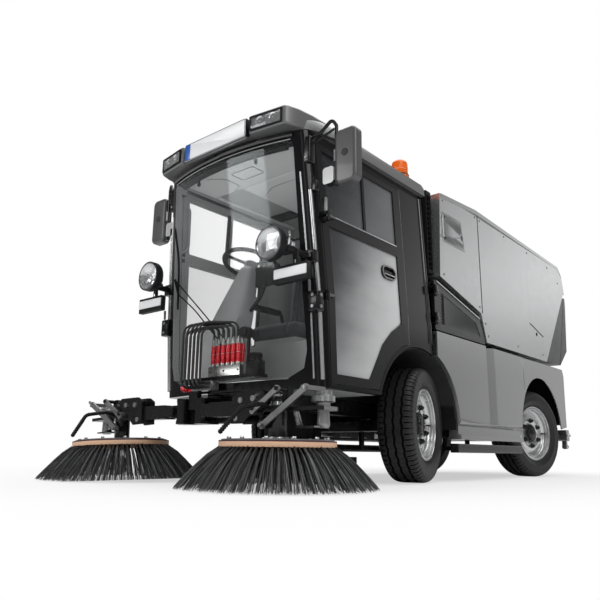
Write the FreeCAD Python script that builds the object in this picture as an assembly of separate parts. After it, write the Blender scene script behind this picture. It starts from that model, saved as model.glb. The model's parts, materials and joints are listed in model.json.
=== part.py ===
import FreeCAD, Part
import math
import os

os.makedirs("parts", exist_ok=True)
V = FreeCAD.Vector

# Compact two-broom street sweeper, in millimetres.
# While it is built, x = 0 is the front axle (forwards is +x), y = 0 is the middle plane (+y is the
# vehicle's left) and z = 0 is the floor. export() then moves it so that the origin is on the floor
# under the middle of the whole machine.
front_axle_x = 569.4
mid_plane_y = 201.9

# Running gear
tyre_radius = 350.0
tyre_width = 225.0
tyre_facets = 52
rim_radius = 203.0
rim_flange_radius = 220.0
rim_half_width = 86.0
wheelbase = 1886.0
wheel_y = 510.0
kingpin_y = 470.0
kingpin_radius = 18.0
stub_radius = 25.0
running_clearance = 0.05
front_steer = 13.0
rear_steer = -13.0

# Chassis
rail_y = 175.0
rail_width = 80.0
rail_bottom = 395.0
rail_height = 95.0
rail_front = 1010.0
rail_rear = -2560.0
rail_wall = 8.0
tow_bore_radius = 13.0
tow_bore_x = -2606.0
tow_bore_z = 447.0
tow_ear_gap = 28.0
tow_ear_thickness = 15.0
rail_top = rail_bottom + rail_height
seat_gap = 0.3

# Cab
cab_rear = -110.0
cab_bottom = rail_top
cab_top = 1890.0
cab_wall = 40.0
cab_foot_half = 624.0
cab_top_half = 575.0
floor_thickness = 20.0
door_gap = 4.0
door_sill = 512.0
door_head = 1845.0
door_rear = 180.0
belt_low = 1365.0
belt_high = 1435.0
handle_x = 370.0
handle_z = 1233.0
handle_half = 75.0
glass_thickness = 6.0
door_hinge_x = 1008.0
door_hinge_y = cab_foot_half + 16.0
hinge_levels = (965.0, 1400.0)
column_length = 480.0
roof_height = 105.0
roof_wall = 15.0
mirror_tube = 10.0
front_arch_x = 60.0
front_arch_radius = 461.0
arch_wall = 6.0
arch_clearance = 4.0
riser_x = front_arch_x + front_arch_radius + arch_clearance
platform_top = tyre_radius + front_arch_radius + 39.0
seat_z = platform_top + 50.0

# Body
body_half = 650.0
skin = 12.0
skirt_top = 948.0
skirt_bottom = 268.0
skirt_rear = -1566.0
rear_arch_x = -1935.0
rear_arch_radius = 462.0
fender_rear = -2530.0
fender_inner = 275.0
seam = 8.0
engine_hinge_x = -131.0
engine_hinge_y = body_half - 9.0
bay_half = body_half - 50.0
engine_hinge_levels = (1010.0, 1200.0)
duct_z = 570.0
duct_half = 75.0
duct_wall = 5.0
duct_corner = 60.0
mouth_x = 425.0
duct_rise_x = -1100.0

# Hopper
hopper_bottom = 978.0
hopper_top = 2002.0
hopper_wall = 25.0
tip_x = -2470.0
tip_z = 1012.0
tip_pin = 15.0
gate_x = -2768.0
gate_z = 1697.0
gate_top = gate_z - 20.0
gate_bottom = 986.0
gate_bottom_x = -2505.0
gate_lip = gate_z + 22.0
hopper_tail_x = -2146.0
flap_hinge_x = -271.0
flap_hinge_y = body_half + 2.0

# Brooms
broom_x = 1150.0
carrier_y = -226.0
pivot_spread = 80.0
broom_reach = 664.0
broom_ring_radius = 290.0
broom_ring_height = 30.0
broom_ring_z = 195.0
bristle_radius = 496.0
tuft_count = 36
broom_tilt = 3.0
coupling_count = 6
coupling_pitch = 40.0
coupling_y = -32.0
coupling_rows = (1178.0, 1148.0)
coupling_top = 776.0
hose_radius = 6.0
hose_bend = 56.0
port_x = 1196.0
port_y = -167.0
port_pitch = 32.0


def box(x0, x1, y0, y1, z0, z1):
    return Part.makeBox(x1 - x0, y1 - y0, z1 - z0, V(x0, y0, z0))


def rod(start, axis, radius, length):
    return Part.makeCylinder(radius, length, V(*start), V(*axis))


def side_profile(points, y0, y1):
    """A side view outline of (x, z) points, carried from y0 to y1."""
    outline = Part.makePolygon([V(x, y0, z) for x, z in points + points[:1]])
    return Part.Face(outline).extrude(V(0, y1 - y0, 0))


def end_profile(points, x0, x1):
    """An end view outline of (y, z) points, carried from x0 to x1."""
    outline = Part.makePolygon([V(x0, y, z) for y, z in points + points[:1]])
    return Part.Face(outline).extrude(V(x1 - x0, 0, 0))


def plan_profile(points, z0, z1):
    outline = Part.makePolygon([V(x, y, z0) for x, y in points + points[:1]])
    return Part.Face(outline).extrude(V(0, 0, z1 - z0))


def round_edges(shape, radius, axis, keep=lambda c: True):
    """Rounds the straight edges that run along an axis and pass the test on their middle."""
    axis = V(*axis)
    picked = []
    for edge in shape.Edges:
        if edge.Curve.TypeId != "Part::GeomLine":
            continue
        if edge.Length > 1 and abs(edge.tangentAt(edge.FirstParameter).dot(axis)) > 0.999:
            if keep(edge.CenterOfMass):
                picked.append(edge)
    return shape.makeFillet(radius, picked) if picked else shape


def lathe_y(points, x, z, side=1):
    """Turns (radius, y) points about the wheel's axle; side mirrors it to the other flank."""
    outline = Part.makePolygon([V(r, y * side, 0) for r, y in points + points[:1]])
    solid = Part.Face(outline).revolve(V(0, 0, 0), V(0, 1, 0), 360)
    return moved(solid, x, 0, z)


def facet_ring(profile, axis, count=60):
    """A ring of flat facets: a closed outline of (radius, distance along the axis) at each of count angles."""
    u, w = {"y": (V(1, 0, 0), V(0, 0, 1)), "z": (V(1, 0, 0), V(0, 1, 0))}[axis]
    along = u.cross(w) * (-1 if axis == "y" else 1)
    rows = []
    for i in range(count):
        a = 2 * math.pi * i / count
        spoke = u * math.cos(a) + w * math.sin(a)
        rows.append([spoke * r + along * h for r, h in profile])
    faces = []
    for i in range(count):
        here, there = rows[i], rows[(i + 1) % count]
        for j in range(len(profile)):
            k = (j + 1) % len(profile)
            faces.append(Part.Face(Part.makePolygon([here[j], here[k], there[k], there[j], here[j]])))
    return Part.Solid(Part.makeShell(faces))


def moved(shape, x, y, z):
    copy = shape.copy()
    copy.translate(V(x, y, z))
    return copy


def turned(shape, centre, axis, angle):
    copy = shape.copy()
    copy.rotate(V(*centre), V(*axis), angle)
    return copy


def mirrored(shape, y=0.0):
    return shape.mirror(V(0, y, 0), V(0, 1, 0))


def joined(shapes):
    return shapes[0].multiFuse(shapes[1:]).removeSplitter() if len(shapes) > 1 else shapes[0]


def export(name, shape):
    shape = moved(shape, front_axle_x, mid_plane_y, 0)
    solids = shape.Solids
    if not shape.isValid() or not solids:
        print("INVALID", name)
    shape = solids[0] if len(solids) == 1 else Part.makeCompound(solids)
    shape.exportStep("parts/" + name + ".step")
    everything.append(shape)
    b = shape.optimalBoundingBox()
    print("%-24s solids %3d  x %7.1f %7.1f  y %7.1f %7.1f  z %7.1f %7.1f" % (
        name, len(solids), b.XMin, b.XMax, b.YMin, b.YMax, b.ZMin, b.ZMax))


everything = []


# Chassis rails, cross members, hinge posts for the hopper
def chassis_frame():
    """Two channel rails, the cross members bolted inside their flanges, and the hopper's posts."""
    pieces = []
    for side in (1, -1):
        y0, y1 = sorted((side * rail_y, side * (rail_y + rail_width)))
        rail = box(rail_rear, rail_front, y0, y1, rail_bottom, rail_top)
        hollow_inner = side * (rail_y - 1)
        hollow_outer = side * (rail_y + rail_width - rail_wall)
        h0, h1 = sorted((hollow_inner, hollow_outer))
        pieces.append(rail.cut(box(rail_rear - 1, rail_front + 1, h0, h1,
                                   rail_bottom + rail_wall, rail_top - rail_wall)))
        pieces.append(hinge_post(side))
    half = rail_y + rail_width - rail_wall - seat_gap
    for x in (rail_front - 60, 200, -900, -1400, -2300, rail_rear):
        member = box(x, x + 60, -half, half, rail_bottom + rail_wall + seat_gap, rail_top - rail_wall - seat_gap)
        pieces.append(joined([member] + tow_jaw()) if x == rail_rear else member)
    return Part.makeCompound(pieces)


def tow_jaw():
    """Two upright ears behind the last cross member, bored for a level towing pin."""
    ears = []
    for y in (-tow_ear_gap / 2 - tow_ear_thickness, tow_ear_gap / 2):
        ear = joined([box(tow_bore_x, rail_rear + 5, y, y + tow_ear_thickness, tow_bore_z - 32, tow_bore_z + 32),
                      rod((tow_bore_x, y, tow_bore_z), (0, 1, 0), 32, tow_ear_thickness)])
        ears.append(ear.cut(rod((tow_bore_x, y - 1, tow_bore_z), (0, 1, 0), tow_bore_radius,
                                tow_ear_thickness + 2)))
    return ears


def hinge_post(side):
    """A two-eared post with the hopper's tipping pin."""
    middle = side * (rail_y + rail_width / 2)
    foot = rail_top + seat_gap
    ears = []
    for offset in (-28, 28):
        ear = side_profile([(tip_x - 38, foot), (tip_x - 32, tip_z), (tip_x + 32, tip_z),
                            (tip_x + 120, foot)], middle + offset - 10, middle + offset + 10)
        ears.append(ear)
        ears.append(rod((tip_x, middle + offset - 10, tip_z), (0, 1, 0), 32, 20))
    ears.append(rod((tip_x, middle - 38, tip_z), (0, 1, 0), tip_pin, 76))
    ears.append(box(tip_x - 38, tip_x + 120, middle - 38, middle + 38, foot, foot + 60))
    return joined(ears)


# Axles and steering knuckles
def axle(x):
    beam = round_edges(box(x - 45, x + 45, -kingpin_y + 20, kingpin_y - 20, 310, 388), 12, (0, 1, 0))
    pieces = [beam]
    for side in (1, -1):
        middle = side * (rail_y + rail_width / 2)
        pieces.append(box(x - 70, x + 70, middle - 38, middle + 38, 380, rail_bottom))
        pieces.append(rod((x, side * kingpin_y, 272), (0, 0, 1), 38, 156))
    result = joined(pieces)
    for side in (1, -1):
        result = result.cut(rod((x, side * kingpin_y, 200), (0, 0, 1),
                                kingpin_radius + running_clearance, 300))
    return result


def knuckle(x, side, steer):
    y = kingpin_y
    lug = box(x - 36, x + 36, y, y + 60, 430.3, 458)
    lugs = [joined([lug, rod((x, y, 430.3), (0, 0, 1), 36, 27.7)]),
            joined([box(x - 36, x + 36, y, y + 60, 242, 269.7), rod((x, y, 242), (0, 0, 1), 36, 27.7)])]
    plate = round_edges(box(x - 48, x + 48, y + 42, y + 60, 242, 458), 30, (0, 1, 0))
    pin = rod((x, y, 242), (0, 0, 1), kingpin_radius, 216)
    stub = rod((x, y + 60, tyre_radius), (0, 1, 0), stub_radius, 50)
    arm = box(x - 118, x, y - 13, y + 13, 246, 266)
    ball = rod((x - 118, y, 242), (0, 0, 1), 16, 30)
    shape = joined(lugs + [plate, pin, stub, arm, ball])
    if side < 0:
        shape = mirrored(shape)
    return turned(shape, (x, side * y, 0), (0, 0, 1), steer)


# Wheels: a dished steel rim with its hub, and a hollow tyre
def rim(x, side, steer):
    w, r = rim_half_width, rim_radius
    barrel = [(rim_flange_radius, w), (rim_flange_radius, w + 5), (r, w + 5), (r - 6, 50), (180, 38), (180, -30),
              (r - 6, -50), (r - 6, -w - 5), (rim_flange_radius, -w - 5), (rim_flange_radius, -w), (r, -w),
              (r, -52), (186, -32), (186, 36), (r, 48), (r, w)]
    dish = [(60, 30), (60, 40), (72, 42), (76, 56), (128, 56), (150, 50), (184, 34), (184, 22), (148, 40),
            (126, 46), (86, 46), (80, 30)]
    hub = [(stub_radius + running_clearance, 21), (62, 21), (62, 46), (46, 50), (46, 68), (38, 74),
           (0, 74), (0, 70.5), (stub_radius + running_clearance, 70.5)]
    shape = joined([lathe_y(p, x, tyre_radius, 1) for p in (barrel, dish, hub)])
    shape = moved(shape, 0, wheel_y, 0)
    if side < 0:
        shape = mirrored(shape)
    return turned(shape, (x, side * kingpin_y, 0), (0, 0, 1), steer)


def tyre(x, side, steer):
    w = tyre_width / 2
    bead = rim_radius + 0.6
    flank = rim_half_width - 0.3
    outline = [(bead, flank), (rim_flange_radius + 8, flank), (285, w), (328, w - 9), (tyre_radius, w - 42)]
    inner = [(tyre_radius - 18, w - 60), (bead, flank - 18)]
    points = outline + [(r, -y) for r, y in reversed(outline)]
    points += [(r, -y) for r, y in reversed(inner)] + inner
    shape = moved(facet_ring(points, "y", tyre_facets), x, wheel_y, tyre_radius)
    if side < 0:
        shape = mirrored(shape)
    return turned(shape, (x, side * kingpin_y, 0), (0, 0, 1), steer)


# Cab: an outer form, set in by any amount, gives the shell, the doors and the glass
def cab_half(z):
    """Half the cab's width: upright to the waist, then leaning in to the roof."""
    return cab_foot_half + (cab_top_half - cab_foot_half) * max(0.0, (z - 950) / (cab_top - 950))


def cab_section(z, inset):
    """One closed plan outline of the cab at height z."""
    t = (z - 490.0) / (cab_top - 490.0)
    half = cab_half(z)
    lean = 106.0 * t
    side_x = 965 + lean - 0.4 * inset
    mid = V(1010 + lean - 0.8 * inset, half - 16 - 0.8 * inset, z)
    front = V(1034 + lean - inset, half - 52 - 0.5 * inset, z)
    nose = V(1104 + 1.1 * lean - inset, 0, z)
    side = V(side_x, half - inset, z)
    rear = V(cab_rear + inset, half - inset, z)

    def flip(p):
        return V(p.x, -p.y, p.z)
    edges = [Part.makeLine(rear, side), Part.Arc(side, mid, front).toShape(),
             Part.Arc(front, nose, flip(front)).toShape(),
             Part.Arc(flip(front), flip(mid), flip(side)).toShape(),
             Part.makeLine(flip(side), flip(rear)), Part.makeLine(flip(rear), rear)]
    return Part.Wire(edges)


def cab_solid(inset, z0=cab_bottom, z1=cab_top):
    levels = [z0, 950.0, z1]
    return Part.makeLoft([cab_section(z, inset) for z in levels], True, True)


def door_outline(gap):
    """The door's side view: straight front edge along the pillar, wheel arch at its lower rear."""
    x1 = door_rear + gap
    r = front_arch_radius + 22 + gap
    z_arch = tyre_radius + math.sqrt(r * r - (x1 - front_arch_x) ** 2)
    x_arch = front_arch_x + math.sqrt(r * r - (door_sill + gap - tyre_radius) ** 2)
    a0 = math.atan2(z_arch - tyre_radius, x1 - front_arch_x)
    a1 = math.atan2(door_sill + gap - tyre_radius, x_arch - front_arch_x)
    am = (a0 + a1) / 2
    p = [V(x1, 0, z_arch), V(front_arch_x + r * math.cos(am), 0, tyre_radius + r * math.sin(am)),
         V(x_arch, 0, door_sill + gap), V(962 - gap, 0, door_sill + gap), V(986 - gap, 0, 950),
         V(1052 - gap, 0, door_head - gap), V(x1, 0, door_head - gap)]
    edges = [Part.Arc(p[0], p[1], p[2]).toShape()]
    loop = [p[2], p[3], p[4], p[5], p[6], p[0]]
    edges += [Part.makeLine(a, b) for a, b in zip(loop, loop[1:])]
    return Part.Wire(edges)


def door_prism(gap, side):
    face = Part.Face(door_outline(gap))
    prism = face.extrude(V(0, side * 800, 0))
    return moved(prism, 0, side * 300, 0).common(box(-400, 1400, -900, 900, 0, 2100))


def window_prism(kind, gap, side):
    """The upper and lower glazing of a door, as prisms through the wall."""
    if kind == "upper":
        points = [(262 + gap, belt_high + gap), (958 - gap, belt_high + gap),
                  (995 - gap, 1800 - gap), (262 + gap, 1800 - gap)]
    else:
        points = [(262 + gap, 930), (262 + gap, belt_low - gap), (952 - gap, belt_low - gap),
                  (928 - gap, 950), (910 - gap, 566 + gap), (610, 566 + gap), (560, 640), (470, 780),
                  (370, 870)]
    y0, y1 = sorted((side * 300, side * 800))
    return side_profile(points, y0, y1)


def windscreen_prism(gap):
    points = [(-430 + gap, 545 + gap), (430 - gap, 545 + gap), (520 - gap, 590 + gap),
              (540 - gap, 680), (500 - gap, 1815), (485 - gap, 1838 - gap), (-485 + gap, 1838 - gap),
              (-500 + gap, 1815), (-540 + gap, 680), (-520 + gap, 590 + gap)]
    return end_profile(points, 700, 1500)


def rear_window_prism(gap):
    return round_edges(box(-200, 0, -430 + gap, 430 - gap, 1180 + gap, 1700 - gap), 40, (1, 0, 0))


def wheel_house(radius):
    return rod((front_arch_x, -900, tyre_radius), (0, 1, 0), radius, 1800)


def hinge_ear(side, z, height):
    """One ear of a door hinge, from the pillar out to the pin."""
    low, high = sorted((side * (cab_half(z) - 25), side * door_hinge_y))
    strap = box(door_hinge_x - 10, door_hinge_x + 14, low, high, z, z + height)
    strap = strap.cut(box(0, door_hinge_x + 0, -2000, 2000, z, z + height).common(door_prism(-2, side)))
    return joined([strap, rod((door_hinge_x, side * door_hinge_y, z), (0, 0, 1), 10, height)])


def hinge_leaf(side, z):
    """The door's knuckle between two ears."""
    low, high = sorted((side * (cab_half(z) - 12), side * (door_hinge_y + 8)))
    root = box(door_hinge_x - 50, door_hinge_x - 29, low, high, z - 7.7, z + 8)
    low, high = sorted((side * (cab_half(z - 8) + 1), side * (door_hinge_y + 8)))
    strap = box(door_hinge_x - 30, door_hinge_x, low, high, z - 7.7, z + 8)
    strap = joined([root, strap, rod((door_hinge_x, side * door_hinge_y, z - 7.7), (0, 0, 1), 10, 15.7)])
    return strap.cut(rod((door_hinge_x, side * door_hinge_y, z - 30), (0, 0, 1), 6.05, 60))


def cab_frame():
    shell = cab_solid(0).cut(cab_solid(cab_wall, cab_bottom - 1, cab_top + 1))
    shell = shell.cut(windscreen_prism(0)).cut(rear_window_prism(0))
    shell = shell.cut(wheel_house(front_arch_radius + 4))
    for side in (1, -1):
        shell = shell.cut(door_prism(0, side))
    for side in (1, -1):
        for z in hinge_levels:
            shell = joined([shell, hinge_ear(side, z - 26, 18), hinge_ear(side, z + 8.3, 18),
                            rod((door_hinge_x, side * door_hinge_y, z - 26), (0, 0, 1), 6, 52)])
    header = cab_solid(2, 1800, cab_top).cut(cab_solid(75, 1799, cab_top + 1))
    header = header.cut(windscreen_prism(0))
    for side in (1, -1):
        header = header.cut(door_prism(0, side))
    return joined([shell, header])


def handle_prism(gap, side, depth=300):
    """The oval outline of the door's handle, through the wall to a depth from the middle plane."""
    low, high = sorted((side * depth, side * 800))
    oval = box(handle_x - handle_half - gap, handle_x + handle_half + gap, low, high,
               handle_z - 42 - gap, handle_z + 42 + gap)
    return round_edges(oval, 41 + gap, (0, 1, 0))


def door_handle(side):
    """Recessed bowl through the pane with a grip bar across it, on a lock case behind the glass."""
    wall = cab_solid(-4).cut(cab_solid(48, cab_bottom - 1, cab_top + 1))
    bowl = wall.common(handle_prism(0, side))
    bowl = bowl.cut(handle_prism(-10, side, cab_half(handle_z) - 26))
    bar = cab_solid(6).cut(cab_solid(14, cab_bottom - 1, cab_top + 1)).common(handle_prism(-4, side))
    bar = bar.common(box(0, 700, -800, 800, handle_z - 9, handle_z + 13))
    low, high = sorted((side * (cab_half(handle_z) - 46), side * (cab_half(handle_z) - 22)))
    case = box(door_rear + 30, handle_x - 20, low, high, handle_z - 38, handle_z + 38)
    return [bowl, bar, case]


def cab_door(side):
    shell = cab_solid(0).cut(cab_solid(cab_wall, cab_bottom - 1, cab_top + 1))
    leaf = shell.common(door_prism(door_gap, side))
    for kind in ("upper", "lower"):
        leaf = leaf.cut(window_prism(kind, 0, side))
    y0, y1 = sorted((side * 300, side * 800))
    bar = shell.common(box(590, 612, y0, y1, belt_high - 10, 1810))
    leaf = joined([leaf, bar])
    hinges = [hinge_leaf(side, z) for z in hinge_levels]
    leaf = leaf.cut(pillar_room(side))
    return joined([leaf] + door_handle(side) + hinges)


def pillar_room(side):
    """Room in the door's front edge for the pillar's hinge ears."""
    low, high = sorted((side * 500, side * 700))
    rooms = []
    for z in hinge_levels:
        for z0 in (z - 31, z + 8):
            rooms.append(box(door_hinge_x - 16, door_hinge_x + 40, low, high, z0, z0 + 23))
    return rooms[0].multiFuse(rooms[1:])


def door_glass(side):
    sheet = cab_solid(10).cut(cab_solid(10 + glass_thickness, cab_bottom - 1, cab_top + 1))
    panes = []
    for kind in ("upper", "lower"):
        pane = sheet.common(window_prism(kind, 0.3, side))
        if kind == "upper":
            y0, y1 = sorted((side * 300, side * 800))
            pane = pane.cut(box(589.7, 612.3, y0, y1, 1000, 1900))
        else:
            pane = pane.cut(handle_prism(0.3, side))
        panes += pane.Solids
    return Part.makeCompound(panes)


def cab_glass():
    """The windscreen, bent round the nose, and the flat rear window."""
    sheet = cab_solid(8).cut(cab_solid(8 + glass_thickness, cab_bottom - 1, cab_top + 1))
    rear = box(cab_rear + 10, cab_rear + 16, -700, 700, 1000, 1900).common(rear_window_prism(0.3))
    return Part.makeCompound([sheet.common(windscreen_prism(0.3)), rear])


def cab_floor():
    """Footwell pan, riser, seat platform and the tunnel walls beside the wheel houses."""
    inside = cab_solid(cab_wall + 0.3, cab_bottom - 1, cab_top)
    half = cab_foot_half - cab_wall - 1
    pan = inside.common(box(riser_x - 25, 1200, -700, 700, cab_bottom, cab_bottom + floor_thickness))
    riser = box(riser_x, riser_x + 16, -half, half, cab_bottom, platform_top)
    seat_deck = box(cab_rear + cab_wall + 0.3, riser_x + 16, -half, half, platform_top - 18, platform_top)
    walls = [box(cab_rear + cab_wall + 0.3, riser_x + 16, y - 6, y + 6, cab_bottom, platform_top)
             for y in (-(rail_y + rail_width - 6), rail_y + rail_width - 6)]
    pedestal = box(80, 480, -400, -40, platform_top, seat_z - 0.3)
    return joined([pan, riser, seat_deck, pedestal] + walls)


def wheel_arches():
    """Black liners over the front wheels, open below and to the outside."""
    liners = []
    inner_y = rail_y + rail_width + 0.3
    for side in (1, -1):
        y0, y1 = sorted((side * inner_y, side * (body_half - 32)))
        r = front_arch_radius
        ring = rod((front_arch_x, y0, tyre_radius), (0, 1, 0), r, y1 - y0)
        ring = ring.cut(rod((front_arch_x, y0 - 1, tyre_radius), (0, 1, 0), r - arch_wall, y1 - y0 + 2))
        ring = ring.cut(box(-600, 700, -800, 800, -200, 330))
        ring = ring.cut(box(front_arch_x, 700, -800, 800, -200, 489.7))
        liners.append(ring)
        y0, y1 = sorted((side * inner_y, side * (inner_y + arch_wall)))
        cheek = rod((front_arch_x, y0, tyre_radius), (0, 1, 0), r, y1 - y0)
        cheek = cheek.cut(box(-600, 700, -800, 800, -200, 489.7))
        liners[-1] = joined([ring, cheek])
    return Part.makeCompound(liners)


def roof_section(z, inset):
    rear, half = cab_rear - 4 + inset, 606 - inset
    side_x, front_x, front_y, nose = 930 - 0.3 * inset, 1190 - inset, 500 - 0.5 * inset, 1262 - inset
    p = [V(rear, half, z), V(side_x, half, z), V(1110 - 0.8 * inset, half - 36 - 0.6 * inset, z),
         V(front_x, front_y, z), V(nose, 0, z)]

    def flip(q):
        return V(q.x, -q.y, q.z)
    edges = [Part.makeLine(p[0], p[1]), Part.Arc(p[1], p[2], p[3]).toShape(),
             Part.Arc(p[3], p[4], flip(p[3])).toShape(), Part.Arc(flip(p[3]), flip(p[2]), flip(p[1])).toShape(),
             Part.makeLine(flip(p[1]), flip(p[0])), Part.makeLine(flip(p[0]), p[0])]
    return Part.Wire(edges)


def cab_roof():
    """A moulded cap with a rounded shoulder, hollow underneath."""
    top = cab_top + roof_height
    steps = [(cab_top, 0), (top - 50, 4), (top - 22, 16), (top - 6, 38), (top, 75)]
    outer = Part.makeLoft([roof_section(z, i) for z, i in steps], True, True)
    inner = Part.makeLoft([roof_section(z - roof_wall, i + roof_wall) for z, i in steps[1:]], True, True)
    lower = Part.makeLoft([roof_section(cab_top - 1, 130), roof_section(top - 50, 130)], True, True)
    return outer.cut(inner.common(lower)).cut(lower)


# Cab fittings
def roof_lamps():
    """Plate carrier in the middle and a lamp housing at each end of the roof's front."""
    wall = Part.makeLoft([roof_section(z, -0.3) for z in (cab_top - 20, cab_top + 120)], True, True)
    pieces = [box(1235, 1274, -262, 262, cab_top + 1, cab_top + 104).cut(wall)]
    for side in (1, -1):
        y0, y1 = sorted((side * 290, side * 505))
        lamp = box(1205, 1275, y0, y1, cab_top + 4, cab_top + 92)
        lamp = turned(lamp, (1240, side * 400, 0), (0, 0, 1), side * -9)
        bowl = box(1262, 1300, min(y0, y1) + 10, max(y0, y1) - 10, cab_top + 14, cab_top + 82)
        bowl = turned(bowl, (1240, side * 400, 0), (0, 0, 1), side * -9)
        lamp = lamp.cut(bowl)
        pieces.append(lamp.cut(wall))
    return Part.makeCompound([s for piece in pieces for s in piece.Solids])


def number_plate():
    plate = round_edges(box(1274.3, 1277.3, -260, 260, cab_top - 8, cab_top + 102), 8, (1, 0, 0))
    return plate


def beacon():
    base = rod((30, 500, cab_top + roof_height + 0.3), (0, 0, 1), 62, 24)
    dome = rod((30, 500, cab_top + roof_height + 24.3), (0, 0, 1), 54, 110)
    return joined([base, dome.makeFillet(30, [e for e in dome.Edges if e.CenterOfMass.z > cab_top + 230])])


def mirror(side):
    """Braced tube bracket from the pillar's head, a tall housing and a small wide-angle housing."""
    housing = round_edges(box(1002, 1058, 716, 856, 1536, 1850), 38, (1, 0, 0))
    housing = housing.makeFillet(20, [e for e in housing.Edges if e.CenterOfMass.x > 1057.9])
    small = round_edges(box(1006, 1050, 634, 705, 1562, 1656), 16, (1, 0, 0))
    tube = tube_path([(1078, 548, 1842), (1066, 634, 1864), (1040, 690, 1934), (1030, 712, 1896),
                      (1030, 712, 1546)], mirror_tube, 25)
    shape = [housing, small, tube]
    for start, end in (((1078, 550, 1796), (1036, 704, 1876)), ((1068, 612, 1862), (1030, 712, 1806)),
                       ((1075, 560, 1822), (1052, 662, 1898))):
        line = V(*end) - V(*start)
        shape.append(rod(start, (line.x, line.y, line.z), mirror_tube - 3, line.Length))
    shape = joined(shape).cut(cab_solid(-seat_gap))
    return shape if side > 0 else mirrored(shape)


def tube_path(points, radius, bend=40):
    """A round tube along straight runs with rounded corners."""
    pts = [V(*p) for p in points]
    edges = []
    start = pts[0]
    for a, b, c in zip(pts, pts[1:], pts[2:]):
        u, w = (a - b), (c - b)
        lu, lw = u.Length, w.Length
        u.normalize()
        w.normalize()
        half = u.getAngle(w) / 2
        reach = min(bend / math.tan(half), 0.45 * lu, 0.45 * lw)
        r = reach * math.tan(half)
        p, q = b + u * reach, b + w * reach
        middle = u + w
        middle.normalize()
        centre = b + middle * (r / math.sin(half))
        edges.append(Part.makeLine(start, p))
        edges.append(Part.Arc(p, centre - middle * r, q).toShape())
        start = q
    edges.append(Part.makeLine(start, pts[-1]))
    path = Part.Wire(edges)
    direction = pts[1] - pts[0]
    ring = Part.Wire([Part.Circle(pts[0], direction, radius).toShape()])
    return path.makePipeShell([ring], True, True)


def work_lamps():
    """Round lamps on arms from the cab's front corners, with a marker lamp below each."""
    pieces = []
    for side in (1, -1):
        y = side * 497
        bowl = rod((1255, y, 1195), (1, 0, 0), 90, 62)
        bowl = bowl.makeFillet(28, [e for e in bowl.Edges if abs(e.CenterOfMass.x - 1255) < 1])
        bowl = bowl.cut(rod((1275, y, 1195), (1, 0, 0), 80, 60))
        stem = box(1085, 1262, y + side * 78 - 9, y + side * 78 + 9, 1150, 1180)
        marker = box(1200, 1232, y + side * 75 - 110, y + side * 75 + 110, 1000, 1090)
        hanger = box(1185, 1200, y + side * 78 - 14, y + side * 78 + 14, 1010, 1178)
        pieces.append(joined([bowl, stem, marker, hanger]))
    return Part.makeCompound([s for piece in pieces for s in piece.Solids])


def seat_cushion():
    seat = box(60, 520, -440, 0, seat_z, seat_z + 100)
    return round_edges(round_edges(seat, 30, (0, 0, 1)), 25, (0, 1, 0))


def seat_back():
    low, high = seat_z + 100.3, seat_z + 740
    back = side_profile([(40, low), (140, low), (60, high), (-30, high)], -430, -10)
    return round_edges(back, 40, (1, 0, 0))


def dashboard():
    """Console across the front corner with the steering column."""
    console = side_profile([(760, 510.3), (960, 510.3), (970, 900), (930, 960), (840, 960)], -400, -100)
    column = rod((850, -250, 900), (-0.35, 0, 1), 28, column_length)
    return joined([console, column])


def steering_wheel():
    section = [(185 + 14 * math.cos(a), 14 * math.sin(a)) for a in (math.radians(45 * i) for i in range(8))]
    ring = facet_ring(section, "z", 40)
    hub = rod((0, 0, -12), (0, 0, 1), 45, 24)
    spokes = [rod((0, 0, 0), (math.cos(a), math.sin(a), 0), 10, 185)
              for a in (math.radians(90), math.radians(210), math.radians(330))]
    wheel = joined([ring, hub] + spokes)
    wheel.rotate(V(0, 0, 0), V(0, 1, 0), -19.3)
    along = (column_length + 12.3) / math.sqrt(1 + 0.35 ** 2)
    return moved(wheel, 850 - 0.35 * along, -250, 900 + along)


# Body panels
def arch_cut(x, radius):
    return rod((x, -1000, tyre_radius), (0, 1, 0), radius, 2000)


def side_skirt(side):
    """Moulded panel between the wheels: a shell with returns, a deep crease and a lower ledge."""
    outer = side_profile([(-128, skirt_top), (-128, 770), (-160, 500), (-340, skirt_bottom),
                          (skirt_rear, skirt_bottom), (skirt_rear, skirt_top)], 0, body_half)
    outer = outer.cut(arch_cut(front_arch_x, front_arch_radius + 10))
    outer = outer.cut(arch_cut(rear_arch_x, rear_arch_radius))
    crease = plan_profile([(-870, body_half + 1), (-905, body_half - 55), (-945, body_half - 55),
                           (-1010, body_half + 1)], 380, skirt_top + 1)
    outer = outer.cut(crease)
    ledge = end_profile([(body_half + 1, 380), (body_half - 22, 356), (body_half - 22, 300),
                         (body_half + 1, 300)], -2000, 0)
    outer = outer.cut(ledge)
    depth = body_half - 90
    parts = [outer.cut(moved(outer, 0, -skin, 0))]
    parts.append(outer.common(box(-3000, 0, depth, body_half, skirt_top - skin, skirt_top)))
    parts.append(outer.common(box(-3000, 0, depth, body_half, skirt_bottom, skirt_bottom + skin)))
    for x, radius in ((front_arch_x, front_arch_radius + 10), (rear_arch_x, rear_arch_radius)):
        parts.append(outer.common(arch_cut(x, radius + skin)).common(box(-3000, 0, depth, body_half, 0, 2000)))
    for x in (-1548, -1200, -960, -700, -152):
        parts.append(outer.common(box(x, x + 8, depth, body_half, 0, 2000)))
    shape = joined(parts).common(box(-3000, 0, depth, body_half + 1, 0, 2000))
    return shape if side > 0 else mirrored(shape)


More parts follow.
